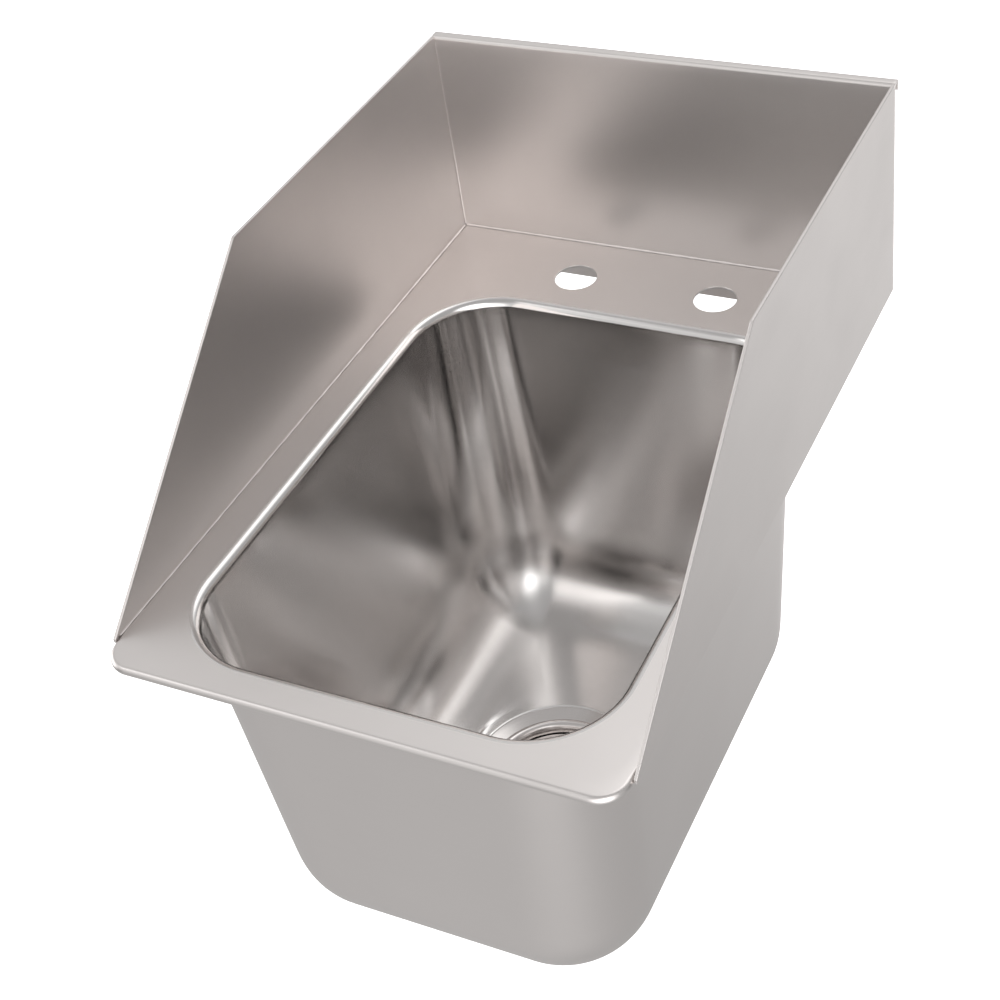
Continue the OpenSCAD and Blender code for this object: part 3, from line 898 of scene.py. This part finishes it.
    def side_splashes(self) -> None:
        """The two side splashes: a flat sheet with a sloped front, its free edges softly rounded."""
        for name, sign in (("left", -1), ("right", 1)):
            low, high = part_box(f"{name}_side_splash")
            inner, outer = (high[0], low[0]) if sign < 0 else (low[0], high[0])
            outline = self._splash_outline(low, high)
            middle = np.array([(low[1] * 0.35 + high[1] * 0.65), (low[2] + high[2]) / 2])
            half_t, edge = abs(outer - inner) / 2, self.side_edge
            shares = np.concatenate([np.linspace(0.0005, 0.9, 16), [0.96, 0.985]])
            sag = offset_line(np.vstack([outline, outline[:1]]), -1.0)[:-1] - outline
            rings, heights = [], []
            for k in shares:
                rings.append(middle + (outline + sag * edge - middle) * k)
                heights.append(half_t)
            for a in np.radians(np.linspace(0, 90, 7)):
                rings.append(outline + sag * edge * (1 - math.sin(a)))
                heights.append(half_t - edge * (1 - math.cos(a)))
            flat = np.array(rings + rings[::-1])
            across = np.array(heights + [-h for h in heights[::-1]])
            span = np.linalg.norm(flat - middle, axis=2)
            wave = 0.5 + 0.5 * np.sin(flat[:, :, 0] / 0.035 + sign) * np.cos(flat[:, :, 1] / 0.05)
            wave *= -sign * self.side_wave * np.clip(1 - span / span.max(), 0, 1)
            x = (inner + outer) / 2 + sign * across[:, None] + wave
            obj = grid_mesh(f"{name}_splash_sheet", np.dstack([x, flat]), caps=True, crease=35)
            self._finish(obj, self.finishes.side, f"{name}_side_splash")

    def _splash_outline(self, low: Array, high: Array) -> Array:
        """The side splash's outline in y and z, with the corner at the top of the slope rounded.

        Args:
            low: the lowest corner of the CAD node.
            high: its highest corner.

        Returns:
            An array of y and z, which closes on itself.
        """
        s, radius = self.sizes, self.side_corner
        top_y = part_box("backsplash")[1][1] - self.fold_reach - self.side_top
        slope = math.degrees(math.atan2(high[2] - s.top, top_y - low[1]))
        centre = (top_y + radius * math.tan(math.radians(slope / 2)), high[2] - radius)
        corner = arc(centre, radius, 90 + slope, 90, 8)
        return joined(
            line((low[1], low[2]), (low[1], s.top), 2)[:-1],
            line((low[1], s.top), tuple(corner[0]), 40),
            corner,
            line(tuple(corner[-1]), (high[1], high[2]), 40),
            line((high[1], high[2]), (high[1], low[2]), 24),
            line((high[1], low[2]), (low[1], low[2]), 60)[:-1])

    def welds(self) -> None:
        """Ground welds in the inner corners: where the splashes meet the deck and each other."""
        top, rear = self.sizes.top, self.sizes.rear
        splash_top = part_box("backsplash")[1][2]
        inner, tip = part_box("right_side_splash")[0][:2]
        x, y, z = np.eye(3)
        for side, name in ((-1, "left"), (1, "right")):
            wall = np.array([side * inner, 0.0, 0.0])
            self._weld(f"weld_{name}", wall + y * (tip + 4 * MM) + z * top, wall + y * (rear - MM) + z * top,
                       -side * x, z)
            post = wall + y * rear
            self._weld(f"weld_{name}_post", post + z * (top + MM), post + z * (splash_top - 3 * MM),
                       -side * x, -y)
        self._weld("weld_back", np.array([MM - inner, rear, top]), np.array([inner - MM, rear, top]), -y, z)

    def _weld(self, name: str, start: Array, end: Array, out: Array, up: Array) -> None:
        """One ground weld: a narrow, slightly hollow fillet whose legs vary along its length.

        The section lies between a quarter circle, hollow to the room, and a straight line. It is closed
        inside the metal. The legs follow two sines of the share of the length.

        Args:
            name: the piece's name.
            start: where it starts, in the sharp inner corner.
            end: where it ends.
            out: direction along the first sheet, away from the corner.
            up: direction along the second sheet.
        """
        turn = np.linspace(0, np.pi / 2, 6)
        face = np.column_stack([1 - 0.62 * np.sin(turn) - 0.38 * turn * 2 / np.pi,
                                1 - 0.62 * np.cos(turn) - 0.38 * (1 - turn * 2 / np.pi)]) + 0.01
        section = np.vstack([[[-0.25, -0.25], [1.1, -0.2]], face, [[-0.2, 1.1]]])
        along = np.linspace(0, 1, 160)
        beads, drift = np.sin(170 * along + start[0] * 40), np.sin(61 * along + 2 * start[1])
        leg = self.weld_leg * (1 + 0.14 * beads + 0.08 * drift)
        path = start + (end - start) * along[:, None]
        offset = section[:, :1] * out + section[:, 1:] * up
        points = path[:, None] + leg[:, None, None] * offset[None]
        obj = grid_mesh(name, points, caps=True, crease=50.0)
        obj.data.materials.append(self.finishes.weld)
        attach(obj, "sink")


# The bowl


@dataclass
class DrawnBowl:
    """The deep bowl: lip roll, leaning walls, wide cove, pitched floor and drain recess, as one sheet.

    Attributes:
        finishes: the sink's finishes.
        sizes: the sizes that it shares with the sheet work.
        lip: radius of the lip's roll.
        corner: inside radius of the upright corners at the lip.
        corner_low: the same at the cove.
        cove: inside radius of the cove.
        draft: how far the walls lean, in radians.
        depth: depth from the deck to the floor.
        fall: how far the floor falls to the recess.
        recess: radius of the drain recess.
        recess_depth: its depth.
        recess_shoulder: how far its shoulder reaches in.
        shoulder_depth: depth of the shoulder.
        hole: radius of the drain hole.
        ease: spread of the places where wall, cove and floor start to bend.
        ripple: height of the drawing ripples.
    """

    finishes: Finishes
    sizes: SheetSizes
    lip: float = 6.0 * MM
    corner: float = 53.0 * MM
    corner_low: float = 58.0 * MM
    cove: float = 56.0 * MM
    draft: float = math.radians(2.45)
    depth: float = 254.0 * MM
    fall: float = 1.2 * MM
    recess: float = 59.5 * MM
    recess_depth: float = 7.5 * MM
    recess_shoulder: float = 1.2 * MM
    shoulder_depth: float = 2.8 * MM
    hole: float = 46.0 * MM
    ease: float = 6.0 * MM
    ripple: float = 0.025 * MM

    @property
    def floor_z(self) -> float:
        """Height of the floor where the cove ends."""
        return self.sizes.top - self.depth

    @property
    def drain_z(self) -> float:
        """Height of the floor at the drain recess."""
        return self.floor_z - self.fall

    def _wall(self) -> tuple[Array, Array]:
        """The inside from the deck down to the floor, with the radius of its upright corners.

        The lip is a quarter roll, the wall a straight line that leans in by the draft, and the cove an
        arc that ends level. The radius grows evenly down the wall, and shrinks round the lip and the cove
        with the inset. Where wall, cove and floor meet, the bend comes on gradually.

        Returns:
            An array of inset from the deck's opening and height, and an array of radii.
        """
        top, lip, tilt = self.sizes.top, self.lip, math.degrees(self.draft)
        roll = arc((0, top - lip), lip, 90, tilt, 12)
        cove_z = self.floor_z + self.cove * (1 - math.sin(self.draft))
        cove_inset = lip + (top - lip - cove_z) * math.tan(self.draft)
        centre = (cove_inset + self.cove * math.cos(self.draft), cove_z + self.cove * math.sin(self.draft))
        wall = line(tuple(roll[-1]), (cove_inset, cove_z), 60)
        bend = arc(centre, self.cove, 180 + tilt, 270, 60)
        run = joined(wall, bend)
        share = np.clip((top - lip - run[:, 1]) / (top - lip - cove_z), 0, 1)
        radius = self.corner + (self.corner_low - self.corner) * share
        radius -= np.maximum(0, run[:, 0] - cove_inset)
        soft, soft_radius = eased(run, radius, self.ease, 0.5 * MM)
        bent = len(soft) - round((self.cove * math.pi / 2 + 2 * self.ease) / (0.5 * MM))
        rows = np.concatenate([np.linspace(0, bent, 24), np.linspace(bent, len(soft) - 1, 44)])
        rows = np.unique(rows.astype(int))
        return (np.vstack([roll, soft[rows[1:]]]),
                np.concatenate([self.corner + lip - roll[:, 0], soft_radius[rows[1:]]]))

    def _recess(self) -> Array:
        """The drain recess as it shows: the floor runs softly down to the flange's edge, then steps under it.

        Returns:
            An array of radius and height.
        """
        r, z = self.recess, self.drain_z
        drops = np.array([[6.0, -0.05], [1.2, 0.0], [0.3, 0.03], [-0.3, 0.15], [-0.7, 0.3], [-0.95, 0.42],
                          [-1.12, 0.6], [-1.19, 1.2], [-1.2, 2.8]]) * MM
        shoulder = np.column_stack([r + drops[:, 0], z - drops[:, 1]])
        return joined(shoulder, self._cone())

    def _recess_back(self) -> Array:
        """The drain recess as the sheet's underside follows it, with wider bends.

        Returns:
            An array of radius and height.
        """
        r, z = self.recess, self.drain_z
        drops = np.array([[6.0, -0.05], [1.2, 0.0], [0.3, 0.1], [-0.3, 0.4], [-0.7, 0.9], [-0.9, 1.7],
                          [-1.2, 2.8]]) * MM
        return joined(np.column_stack([r + drops[:, 0], z - drops[:, 1]]), self._cone())

    def _cone(self) -> Array:
        """The recess's cone from its shoulder down to the hole."""
        inner = self.recess - self.recess_shoulder - MM
        return line((inner, self.drain_z - self.shoulder_depth - 0.38 * MM),
                    (self.hole, self.drain_z - self.recess_depth), 5)

    def _rings(self, wall: Array, recess: Array, radius: Array) -> Array:
        """Rings of points: rounded rectangles down the wall, then circles in the recess.

        The floor between the last rectangle and the first circle is ruled, with rings between them.

        Args:
            wall: array of inset and height.
            recess: array of radius and height.
            radius: corner radius of each wall point.

        Returns:
            An array of rings, points and 3 coordinates.
        """
        s = self.sizes
        rings = []
        for (inset, z), r in zip(wall, radius):
            half = (s.open_x - inset, s.open_y - inset)
            flat = rounded_ring(half, (r, r), 0.0, (self._long, self._short), CORNER_STEPS)
            rings.append(np.column_stack([flat, np.full(len(flat), z)]))
        floor = rings[-1]
        reach = np.linalg.norm(floor[:, :2], axis=1, keepdims=True)
        heading = floor[:, :2] / reach
        circles = [np.column_stack([heading * r, np.full(len(heading), z)]) for r, z in recess]
        between = [floor + (circles[0] - floor) * k for k in (0.1, 0.3, 0.5, 0.7, 0.9)]
        return np.array(rings + between + circles) + np.array([0.0, s.bowl_y, 0.0])

    def __post_init__(self) -> None:
        """Works out the shares along the straight sides, even in angle as seen from the drain."""
        wall = self._wall()[0]
        x, y = self.sizes.open_x - wall[-1, 0], self.sizes.open_y - wall[-1, 0]
        long_angle = math.atan2(y, x)
        self._long = self._even_angles(long_angle, 48)
        self._short = self._even_angles(math.pi / 2 - long_angle, 32)

    @staticmethod
    def _even_angles(half_angle: float, steps: int) -> Array:
        """Shares along a side that look evenly spaced from the middle: tangents of even angles."""
        angle = np.linspace(-half_angle, half_angle, steps, endpoint=False)
        return (np.tan(angle) / math.tan(half_angle) + 1) / 2

    def build(self) -> None:
        """Makes the bowl: the inside, and the outside one sheet away, joined at the lip and the hole."""
        t = self.sizes.sheet
        (wall, radius), recess = self._wall(), self._recess()
        inside = self._rings(wall, recess, radius)
        outer_wall = offset_line(wall, -t)
        outer_wall[0] = wall[0] - np.array([0.0, t])
        mirror = np.array([-1.0, 1.0])
        outer_recess = offset_line(self._recess_back() * mirror, -t) * mirror
        outer_recess[-1] = recess[-1] - np.array([0.0, 1.1 * t])
        outside = self._rings(outer_wall, outer_recess, radius + (wall[:, 0] - outer_wall[:, 0]))
        inside = self._hammered(inside)
        obj = grid_mesh("drawn_bowl", np.concatenate([inside, outside[::-1]]), wrap_rows=True, crease=50)
        self._mark_polish(obj, inside, outside.shape)
        obj.data.materials.append(self.finishes.bowl)
        obj.data.materials.append(self.finishes.bowl_back)
        ring = np.repeat(np.arange(len(inside) + len(outside)), inside.shape[1])
        obj.data.polygons.foreach_set("material_index", (ring >= len(inside)).astype(np.int32))
        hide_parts("bowl")
        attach(obj, "sink")
        LOG.info("drawn bowl made")

    def _corners(self, reach: float) -> Array:
        """How far each point of a ring belongs to an upright corner, from 0 to 1.

        The fourth power of the distance from the corner's middle, over the reach, makes a flat-topped bell.

        Args:
            reach: half width of the bell as a share of a corner's steps.

        Returns:
            One value for each point of a ring.
        """
        ends = np.cumsum([len(self._long), CORNER_STEPS, len(self._short), CORNER_STEPS] * 2)
        middles = ends[1::2] - CORNER_STEPS / 2
        steps = np.arange(ends[-1])[None] - middles[:, None]
        return np.exp(-(steps / (reach * CORNER_STEPS)) ** 4).max(axis=0)

    def _hammered(self, rings: Array) -> Array:
        """The inside with the slight ripples that drawing leaves in its upright corners.

        Each wall point moves along its own level by a sum of sines of its place round the ring, times a
        window that is 1 in the corners and 0 on the straights and at the lip.

        Args:
            rings: the inside's rings.

        Returns:
            The rings with the ripples.
        """
        place = np.arange(rings.shape[1])
        ripple = 0.5 * np.sin(1.31 * place) + 0.8 * np.sin(0.83 * place + 1)
        ripple = self.ripple * self._corners(0.62) * (ripple + 0.25 * np.sin(2.17 * place + 0.4))
        heading = rings - rings.mean(axis=1, keepdims=True)
        heading[:, :, 2] = 0.0
        heading /= np.maximum(np.linalg.norm(heading, axis=2, keepdims=True), 1e-9)
        fade = np.interp(rings[:, 0, 2], np.array([-215, -165, -30, -8]) * MM, [0, 1, 1, 0])
        return rings + heading * ripple[None, :, None] * fade[:, None, None]

    def _mark_polish(self, obj: bpy.types.Object, inside: Array, outside: tuple[int, ...]) -> None:
        """Stores how far each point is buffed: up to 1 in the corners, the lip and the cove, 0 on flat walls.

        The low ends of the corners, where three surfaces meet in a ball, stay unbuffed.

        Args:
            obj: the bowl.
            inside: the inside's rings.
            outside: shape of the outside's rings.
        """
        corners = self._corners(0.75)[None]
        height = inside[:, :1, 2]
        down = np.interp(height, np.array([-249, -205, -175, -40, -10, 2, 5]) * MM,
                         [0.5, 0.9, 0, 0, 0.8, 1, 0.4])
        share = np.interp(height, np.array([-250, -240]) * MM, [0.2, 1])
        ball = np.interp(height, np.array([-205, -185]) * MM, [1, 0])
        mask = np.maximum(corners * share, down) * (1 - ball * corners)
        values = np.concatenate([mask.ravel(), np.zeros(outside[0] * outside[1])])
        layer = obj.data.attributes.new("polish", "FLOAT", "POINT")
        layer.data.foreach_set("value", values.astype(np.float32))


# The drain


@dataclass
class Drain:
    """The strainer, its nuts and seals, the tailpiece and the lift-out basket.

    Heights are measured from the bowl's floor at the recess, and fall below it.

    Attributes:
        finishes: the sink's finishes.
        bowl: the bowl that holds the drain.
        flange: radius of the strainer's flange.
        flange_edge: radius of its edge.
        throat: inside radius under the flange.
        wall: thickness of the strainer's wall.
        seal: thickness of the seal under the flange.
        roll: radius of the roll from flange to throat.
        throat_depth: depth of the throat.
        ledge_in: how far the basket's ledge reaches in.
        ledge_fall: how far it falls.
        cup_depth: depth of the cup.
        cup_lean: how much narrower the cup is at its foot.
        cup_turn: radius of the bend at its foot.
        window: radius of the opening in its bottom.
        thread_depth: depth of the threads.
        thread_pitch: rise of one turn.
        thread_gap: how far the outlet's thread stands out past its washer.
        arms: number of arms of the cross.
        arm_radius: half an arm's thickness.
        hub: radius of the cross's ring.
        hub_turn: radius of the ring's rounded sides.
        hub_flat: half the ring's flat width.
        outlet_bore: radius of the outlet's bore.
        touch: slack for the points that carry a thread.
    """

    finishes: Finishes
    bowl: DrawnBowl
    flange: float = 58.27 * MM
    flange_edge: float = 0.3 * MM
    throat: float = 43.7 * MM
    wall: float = 1.6 * MM
    seal: float = 0.8 * MM
    roll: float = 5.0 * MM
    throat_depth: float = 19.5 * MM
    ledge_in: float = 3.7 * MM
    ledge_fall: float = 2.5 * MM
    cup_depth: float = 50.0 * MM
    cup_lean: float = 2.0 * MM
    cup_turn: float = 7.0 * MM
    window: float = 18.55 * MM
    thread_depth: float = 0.7 * MM
    thread_pitch: float = 2.2 * MM
    thread_gap: float = 0.6 * MM
    arms: int = 8
    arm_radius: float = 0.85 * MM
    hub: float = 5.2 * MM
    hub_turn: float = 0.8 * MM
    hub_flat: float = 0.45 * MM
    outlet_bore: float = 19.05 * MM
    touch: float = 0.001 * MM

    def build(self) -> None:
        """Makes the strainer body and the outlet, and dresses the drain's other CAD nodes."""
        self.strainer_body()
        self.outlet_cross()
        self.outlet()
        for node in ("locknut", "tailpiece", "coupling_nut", "strainer_basket", "basket_post", "basket_knob",
                     "post_nut"):
            self._dress(node, self.finishes.pressed)
        for node in ("flange_seal", "floor_gasket", "tailpiece_washer", "basket_stopper"):
            self._dress(node, self.finishes.rubber)
        self._dress("friction_ring", self.finishes.fibre)
        LOG.info("drain dressed")

    @staticmethod
    def _dress(node: str, material: bpy.types.Material) -> None:
        """Gives a CAD node its material.

        Args:
            node: the node's name.
            material: its material.
        """
        mesh = frame["nodes"][node].data
        mesh.materials.clear()
        mesh.materials.append(material)

    def _place(self, obj: bpy.types.Object, *nodes: str) -> None:
        """Gives a piece the drain's finish and body, and hides the CAD nodes that it stands for.

        Args:
            obj: the piece.
            nodes: names of the CAD nodes, if any.
        """
        obj.data.materials.append(self.finishes.drain)
        if nodes:
            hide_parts(*nodes)
        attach(obj, "sink")
        LOG.info("%s made", obj.name)

    def _seat(self, radius: float) -> float:
        """Height of the recess's cone, from the drain's zero, at a radius.

        Args:
            radius: distance from the drain's axis.

        Returns:
            The height.
        """
        b = self.bowl
        top_r = b.recess - b.recess_shoulder
        slope = (b.recess_depth - b.shoulder_depth) / (top_r - b.hole)
        return -b.shoulder_depth - (top_r - radius) * slope

    def strainer_body(self) -> None:
        """The strainer body, one profile turned about the axis: flange, lip, throat, ledge and cup."""
        lift = self.seal + self.wall
        rim_z = self._seat(self.flange) + lift
        roll_r = self.throat + self.roll
        centre = (roll_r, self._seat(roll_r) + lift - self.roll)
        ledge_r, ledge_z = self.throat - self.ledge_in, -self.throat_depth - self.ledge_fall
        low_r, turn_r, edge = ledge_r - self.cup_lean, self.cup_turn, self.flange_edge
        turn = (low_r - turn_r, -self.cup_depth + turn_r + 0.5 * MM)
        outer, t, d = self.throat + self.wall, self.wall, self.cup_depth
        below = -self.throat_depth - 0.8 * MM
        profile = joined(
            arc((self.flange - edge, rim_z - edge), edge, -60, 70, 5),
            line((self.flange - 1.5 * MM, self._seat(self.flange - 1.5 * MM) + lift),
                 (roll_r + MM, self._seat(roll_r + MM) + lift), 4),
            arc(centre, self.roll, 78, 180, 14),
            line((self.throat, centre[1] - MM), (self.throat, -self.throat_depth), 5),
            line((self.throat - 0.4 * MM, -self.throat_depth - 0.5 * MM),
                 (ledge_r + 0.4 * MM, ledge_z + 0.4 * MM), 1),
            line((ledge_r, ledge_z), (low_r, -d + turn_r + MM), 6),
            arc(turn, turn_r, 0, -80, 8),
            line((low_r - turn_r - MM, -d + 0.3 * MM), (self.window, -d), 3),
            line((self.window, -d - t), (low_r - turn_r - MM, -d - t + 0.3 * MM), 3),
            arc(turn, turn_r + t, -80, 0, 8),
            line((low_r + t, -d + turn_r + 2 * MM), (ledge_r + t, ledge_z - MM), 5),
            line((outer, below), (outer, self._seat(outer) + self.seal), 48),
            line((outer + 2 * MM, self._seat(outer + 2 * MM) + self.seal),
                 (self.flange - MM, self._seat(self.flange - MM) + self.seal), 4))
        z0 = self.bowl.drain_z
        thread = Thread(z0 + below, z0 - self.bowl.recess_depth, self.thread_pitch, self.thread_depth,
                        outer - self.touch)
        obj = revolve("strainer_body", profile + np.array([0.0, z0]), (0.0, self.bowl.sizes.bowl_y),
                      steps=180, crease=32, thread=thread)
        self._place(obj, "drain_cup")

    def outlet_cross(self) -> None:
        """The cross in the cup's bottom: a ring and eight flat arms with rounded edges."""
        y = self.bowl.sizes.bowl_y
        middle = self.bowl.drain_z - self.cup_depth - self.wall / 2
        centre, flat = (self.hub - self.arm_radius, middle), np.array([self.hub_flat, 0.0])
        hub = joined(arc(centre, self.hub_turn, -90, 90, 6) + flat,
                     arc(centre, self.hub_turn, 90, 270, 6) - flat)
        self._place(revolve("outlet_hub", hub, (0.0, y), steps=48))
        reach = np.linspace(self.hub, self.window + 0.6 * MM, 6)
        for index in range(self.arms):
            turn = 2 * math.pi * index / self.arms
            along = np.array([math.cos(turn), math.sin(turn), 0.0])
            path = np.array([0.0, y, middle]) + np.outer(reach, along)
            self._place(tube(f"outlet_arm_{index + 1}", path, np.full(len(path), self.arm_radius)))

    def outlet(self) -> None:
        """The threaded outlet under the cup, with its brazed flange."""
        low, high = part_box("outlet_spud")
        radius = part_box("tailpiece_washer")[1][0] + self.thread_gap
        bore, flange = self.outlet_bore, high[0]
        top, base = high[2], low[2]
        edge = 0.4 * MM
        profile = joined(
            line((bore, base + edge), (bore, top), 6),
            line((flange - edge, top), (flange, top - edge), 1),
            line((flange, top - 1.1 * MM), (flange - edge, top - 1.5 * MM), 1),
            line((radius + edge, top - 1.5 * MM), (radius, top - 1.9 * MM), 1),
            line((radius, top - 2 * MM), (radius, base + edge), 72),
            line((radius - edge, base), (bore + edge, base), 2))
        thread = Thread(base, top - 3 * MM, self.thread_pitch, self.thread_depth, radius - self.touch)
        obj = revolve("threaded_outlet", profile, (0.0, self.bowl.sizes.bowl_y), steps=120, crease=50,
                      thread=thread)
        self._place(obj, "outlet_spud")


# Camera, floor and light


@dataclass(frozen=True)
class SoftLight:
    """One soft light of the studio, far away: a disc of even brightness with a soft edge.

    A strength under 0 makes it a dark card, which takes light away from the even level.

    Attributes:
        azimuth: direction in degrees, 0 towards +Y (behind the sink) and 90 towards +X.
        elevation: degrees above the horizon.
        strength: brightness of the disc.
        width: its radius in degrees, at the middle of the soft edge.
        edge: half width of the soft edge in degrees.
    """

    azimuth: float
    elevation: float
    strength: float
    width: float
    edge: float = 18.0


@dataclass
class Studio:
    """The camera of the photograph, a plain pale floor and soft light from all round.

    Attributes:
        yaw: the camera's heading in degrees, 0 towards +Y and positive towards +X.
        pitch: how far it looks down, in degrees.
        roll: its turn about the line of sight, in degrees.
        eye: its place.
        focal_px: focal length in pixels of the photograph's width.
        centre_shift_px: how far the optical centre lies to the side of the picture's.
        sensor_mm: the camera's sensor width.
        floor_half: half the floor's side.
        floor_gap: how far the floor lies under the tailpiece.
        ambient: the even level of light.
        lights: soft lights and dark cards on top of it.
    """

    yaw: float = -29.7
    pitch: float = 40.3
    roll: float = -8.4
    eye: tuple[float, float, float] = (432.4 * MM, -502.1 * MM, 685.3 * MM)
    focal_px: float = 1792.0
    centre_shift_px: float = 60.0
    sensor_mm: float = 36.0
    floor_half: float = 12.0
    floor_gap: float = 0.2 * MM
    ambient: float = 0.52
    lights: tuple[SoftLight, ...] = (
        SoftLight(150, 15, 1.7, 26),
        SoftLight(152, -15, 0.6, 24),
        SoftLight(138, 42, 1.2, 15, 8),
        SoftLight(200, 15, 0.3, 26),
        SoftLight(-30, 44, 0.3, 24),
        SoftLight(7, 55, 1.05, 16.5, 9),
        SoftLight(222, 37, 0.28, 12, 8),
        SoftLight(240, 48, 1.1, 12, 6),
        SoftLight(-92, 4, 1.6, 20, 12),
        SoftLight(12, -24, 0.75, 16, 12),
        SoftLight(225, -55, 0.08, 26, 14),
        SoftLight(62, -2, -0.24, 14, 12),
        SoftLight(232, -8, -0.26, 14, 12),
    )

    def build(self) -> None:
        """Makes the camera, the floor and the light."""
        self.camera()
        self.floor()
        self.world()
        bpy.context.scene.view_settings.view_transform = "Standard"
        LOG.info("studio set")

    def camera(self) -> None:
        """The camera, from its three angles: forward, then right and up turned by the roll."""
        yaw, pitch, roll = (math.radians(v) for v in (self.yaw, self.pitch, self.roll))
        forward = Vector((math.sin(yaw) * math.cos(pitch), math.cos(yaw) * math.cos(pitch), -math.sin(pitch)))
        level = Vector((math.cos(yaw), -math.sin(yaw), 0.0))
        upright = level.cross(forward)
        right = math.cos(roll) * level + math.sin(roll) * upright
        up = -math.sin(roll) * level + math.cos(roll) * upright
        data = bpy.data.cameras.new("camera")
        data.sensor_width = self.sensor_mm
        data.sensor_fit = "HORIZONTAL"
        data.lens = self.focal_px / IMAGE_PX * self.sensor_mm
        data.shift_x = -self.centre_shift_px / IMAGE_PX
        data.clip_start = 0.01
        data.clip_end = 100.0
        obj = bpy.data.objects.new("camera", data)
        turn = Matrix((right, up, -forward)).transposed()
        obj.matrix_world = Matrix.Translation(self.eye) @ turn.to_4x4()
        bpy.context.collection.objects.link(obj)
        bpy.context.scene.camera = obj

    def floor(self) -> None:
        """A plain pale floor under the tailpiece, lit so evenly that it shows no shadow."""
        low, size = CAD_BOX[0][2] - self.floor_gap, self.floor_half
        mesh = bpy.data.meshes.new("floor")
        corners = [(-size, -size, low), (size, -size, low), (size, size, low), (-size, size, low)]
        mesh.from_pydata(corners, [], [(0, 1, 2, 3)])
        obj = bpy.data.objects.new("floor", mesh)
        bpy.context.collection.objects.link(obj)
        material = bpy.data.materials.new("pale_floor")
        material.use_nodes = True
        shader = material.node_tree.nodes["Principled BSDF"]
        shader.inputs["Base Color"].default_value = (0.8, 0.8, 0.8, 1.0)
        shader.inputs["Emission Color"].default_value = (1.0, 1.0, 1.0, 1.0)
        shader.inputs["Emission Strength"].default_value = 1.0
        mesh.materials.append(material)
        obj.visible_glossy = False
        obj.visible_diffuse = False

    def world(self) -> None:
        """Light from all round: an even level plus one disc for each soft light.

        A disc is a smooth step of the cosine of the angle to its direction.
        """
        world = bpy.data.worlds.new("studio")
        world.use_nodes = True
        tree = world.node_tree
        background = tree.nodes["Background"]
        place = tree.nodes.new("ShaderNodeTexCoord")
        total: bpy.types.NodeSocket | float = self.ambient
        for light in self.lights:
            azimuth, elevation = math.radians(light.azimuth), math.radians(light.elevation)
            dot = tree.nodes.new("ShaderNodeVectorMath")
            dot.operation = "DOT_PRODUCT"
            dot.inputs[1].default_value = (math.sin(azimuth) * math.cos(elevation),
                                           math.cos(azimuth) * math.cos(elevation), math.sin(elevation))
            tree.links.new(place.outputs["Generated"], dot.inputs[0])
            disc = tree.nodes.new("ShaderNodeMapRange")
            disc.interpolation_type = "SMOOTHSTEP"
            disc.inputs["From Min"].default_value = math.cos(math.radians(light.width + light.edge))
            disc.inputs["From Max"].default_value = math.cos(math.radians(light.width - light.edge))
            disc.inputs["To Max"].default_value = light.strength
            tree.links.new(dot.outputs["Value"], disc.inputs["Value"])
            total = math_node(tree, "ADD", disc.outputs["Result"], total)
        tree.links.new(total, background.inputs["Color"])
        bpy.context.scene.world = world


def main() -> None:
    """Builds the studio and the sink, piece by piece."""
    logging.basicConfig(level=logging.INFO, format="%(name)s: %(message)s")
    Studio().build()
    finishes = Finishes()
    sheet_work = SheetWork(finishes)
    sheet_work.build()
    bowl = DrawnBowl(finishes, sheet_work.sizes)
    bowl.build()
    Drain(finishes, bowl).build()


if __name__ == "__main__":
    main()
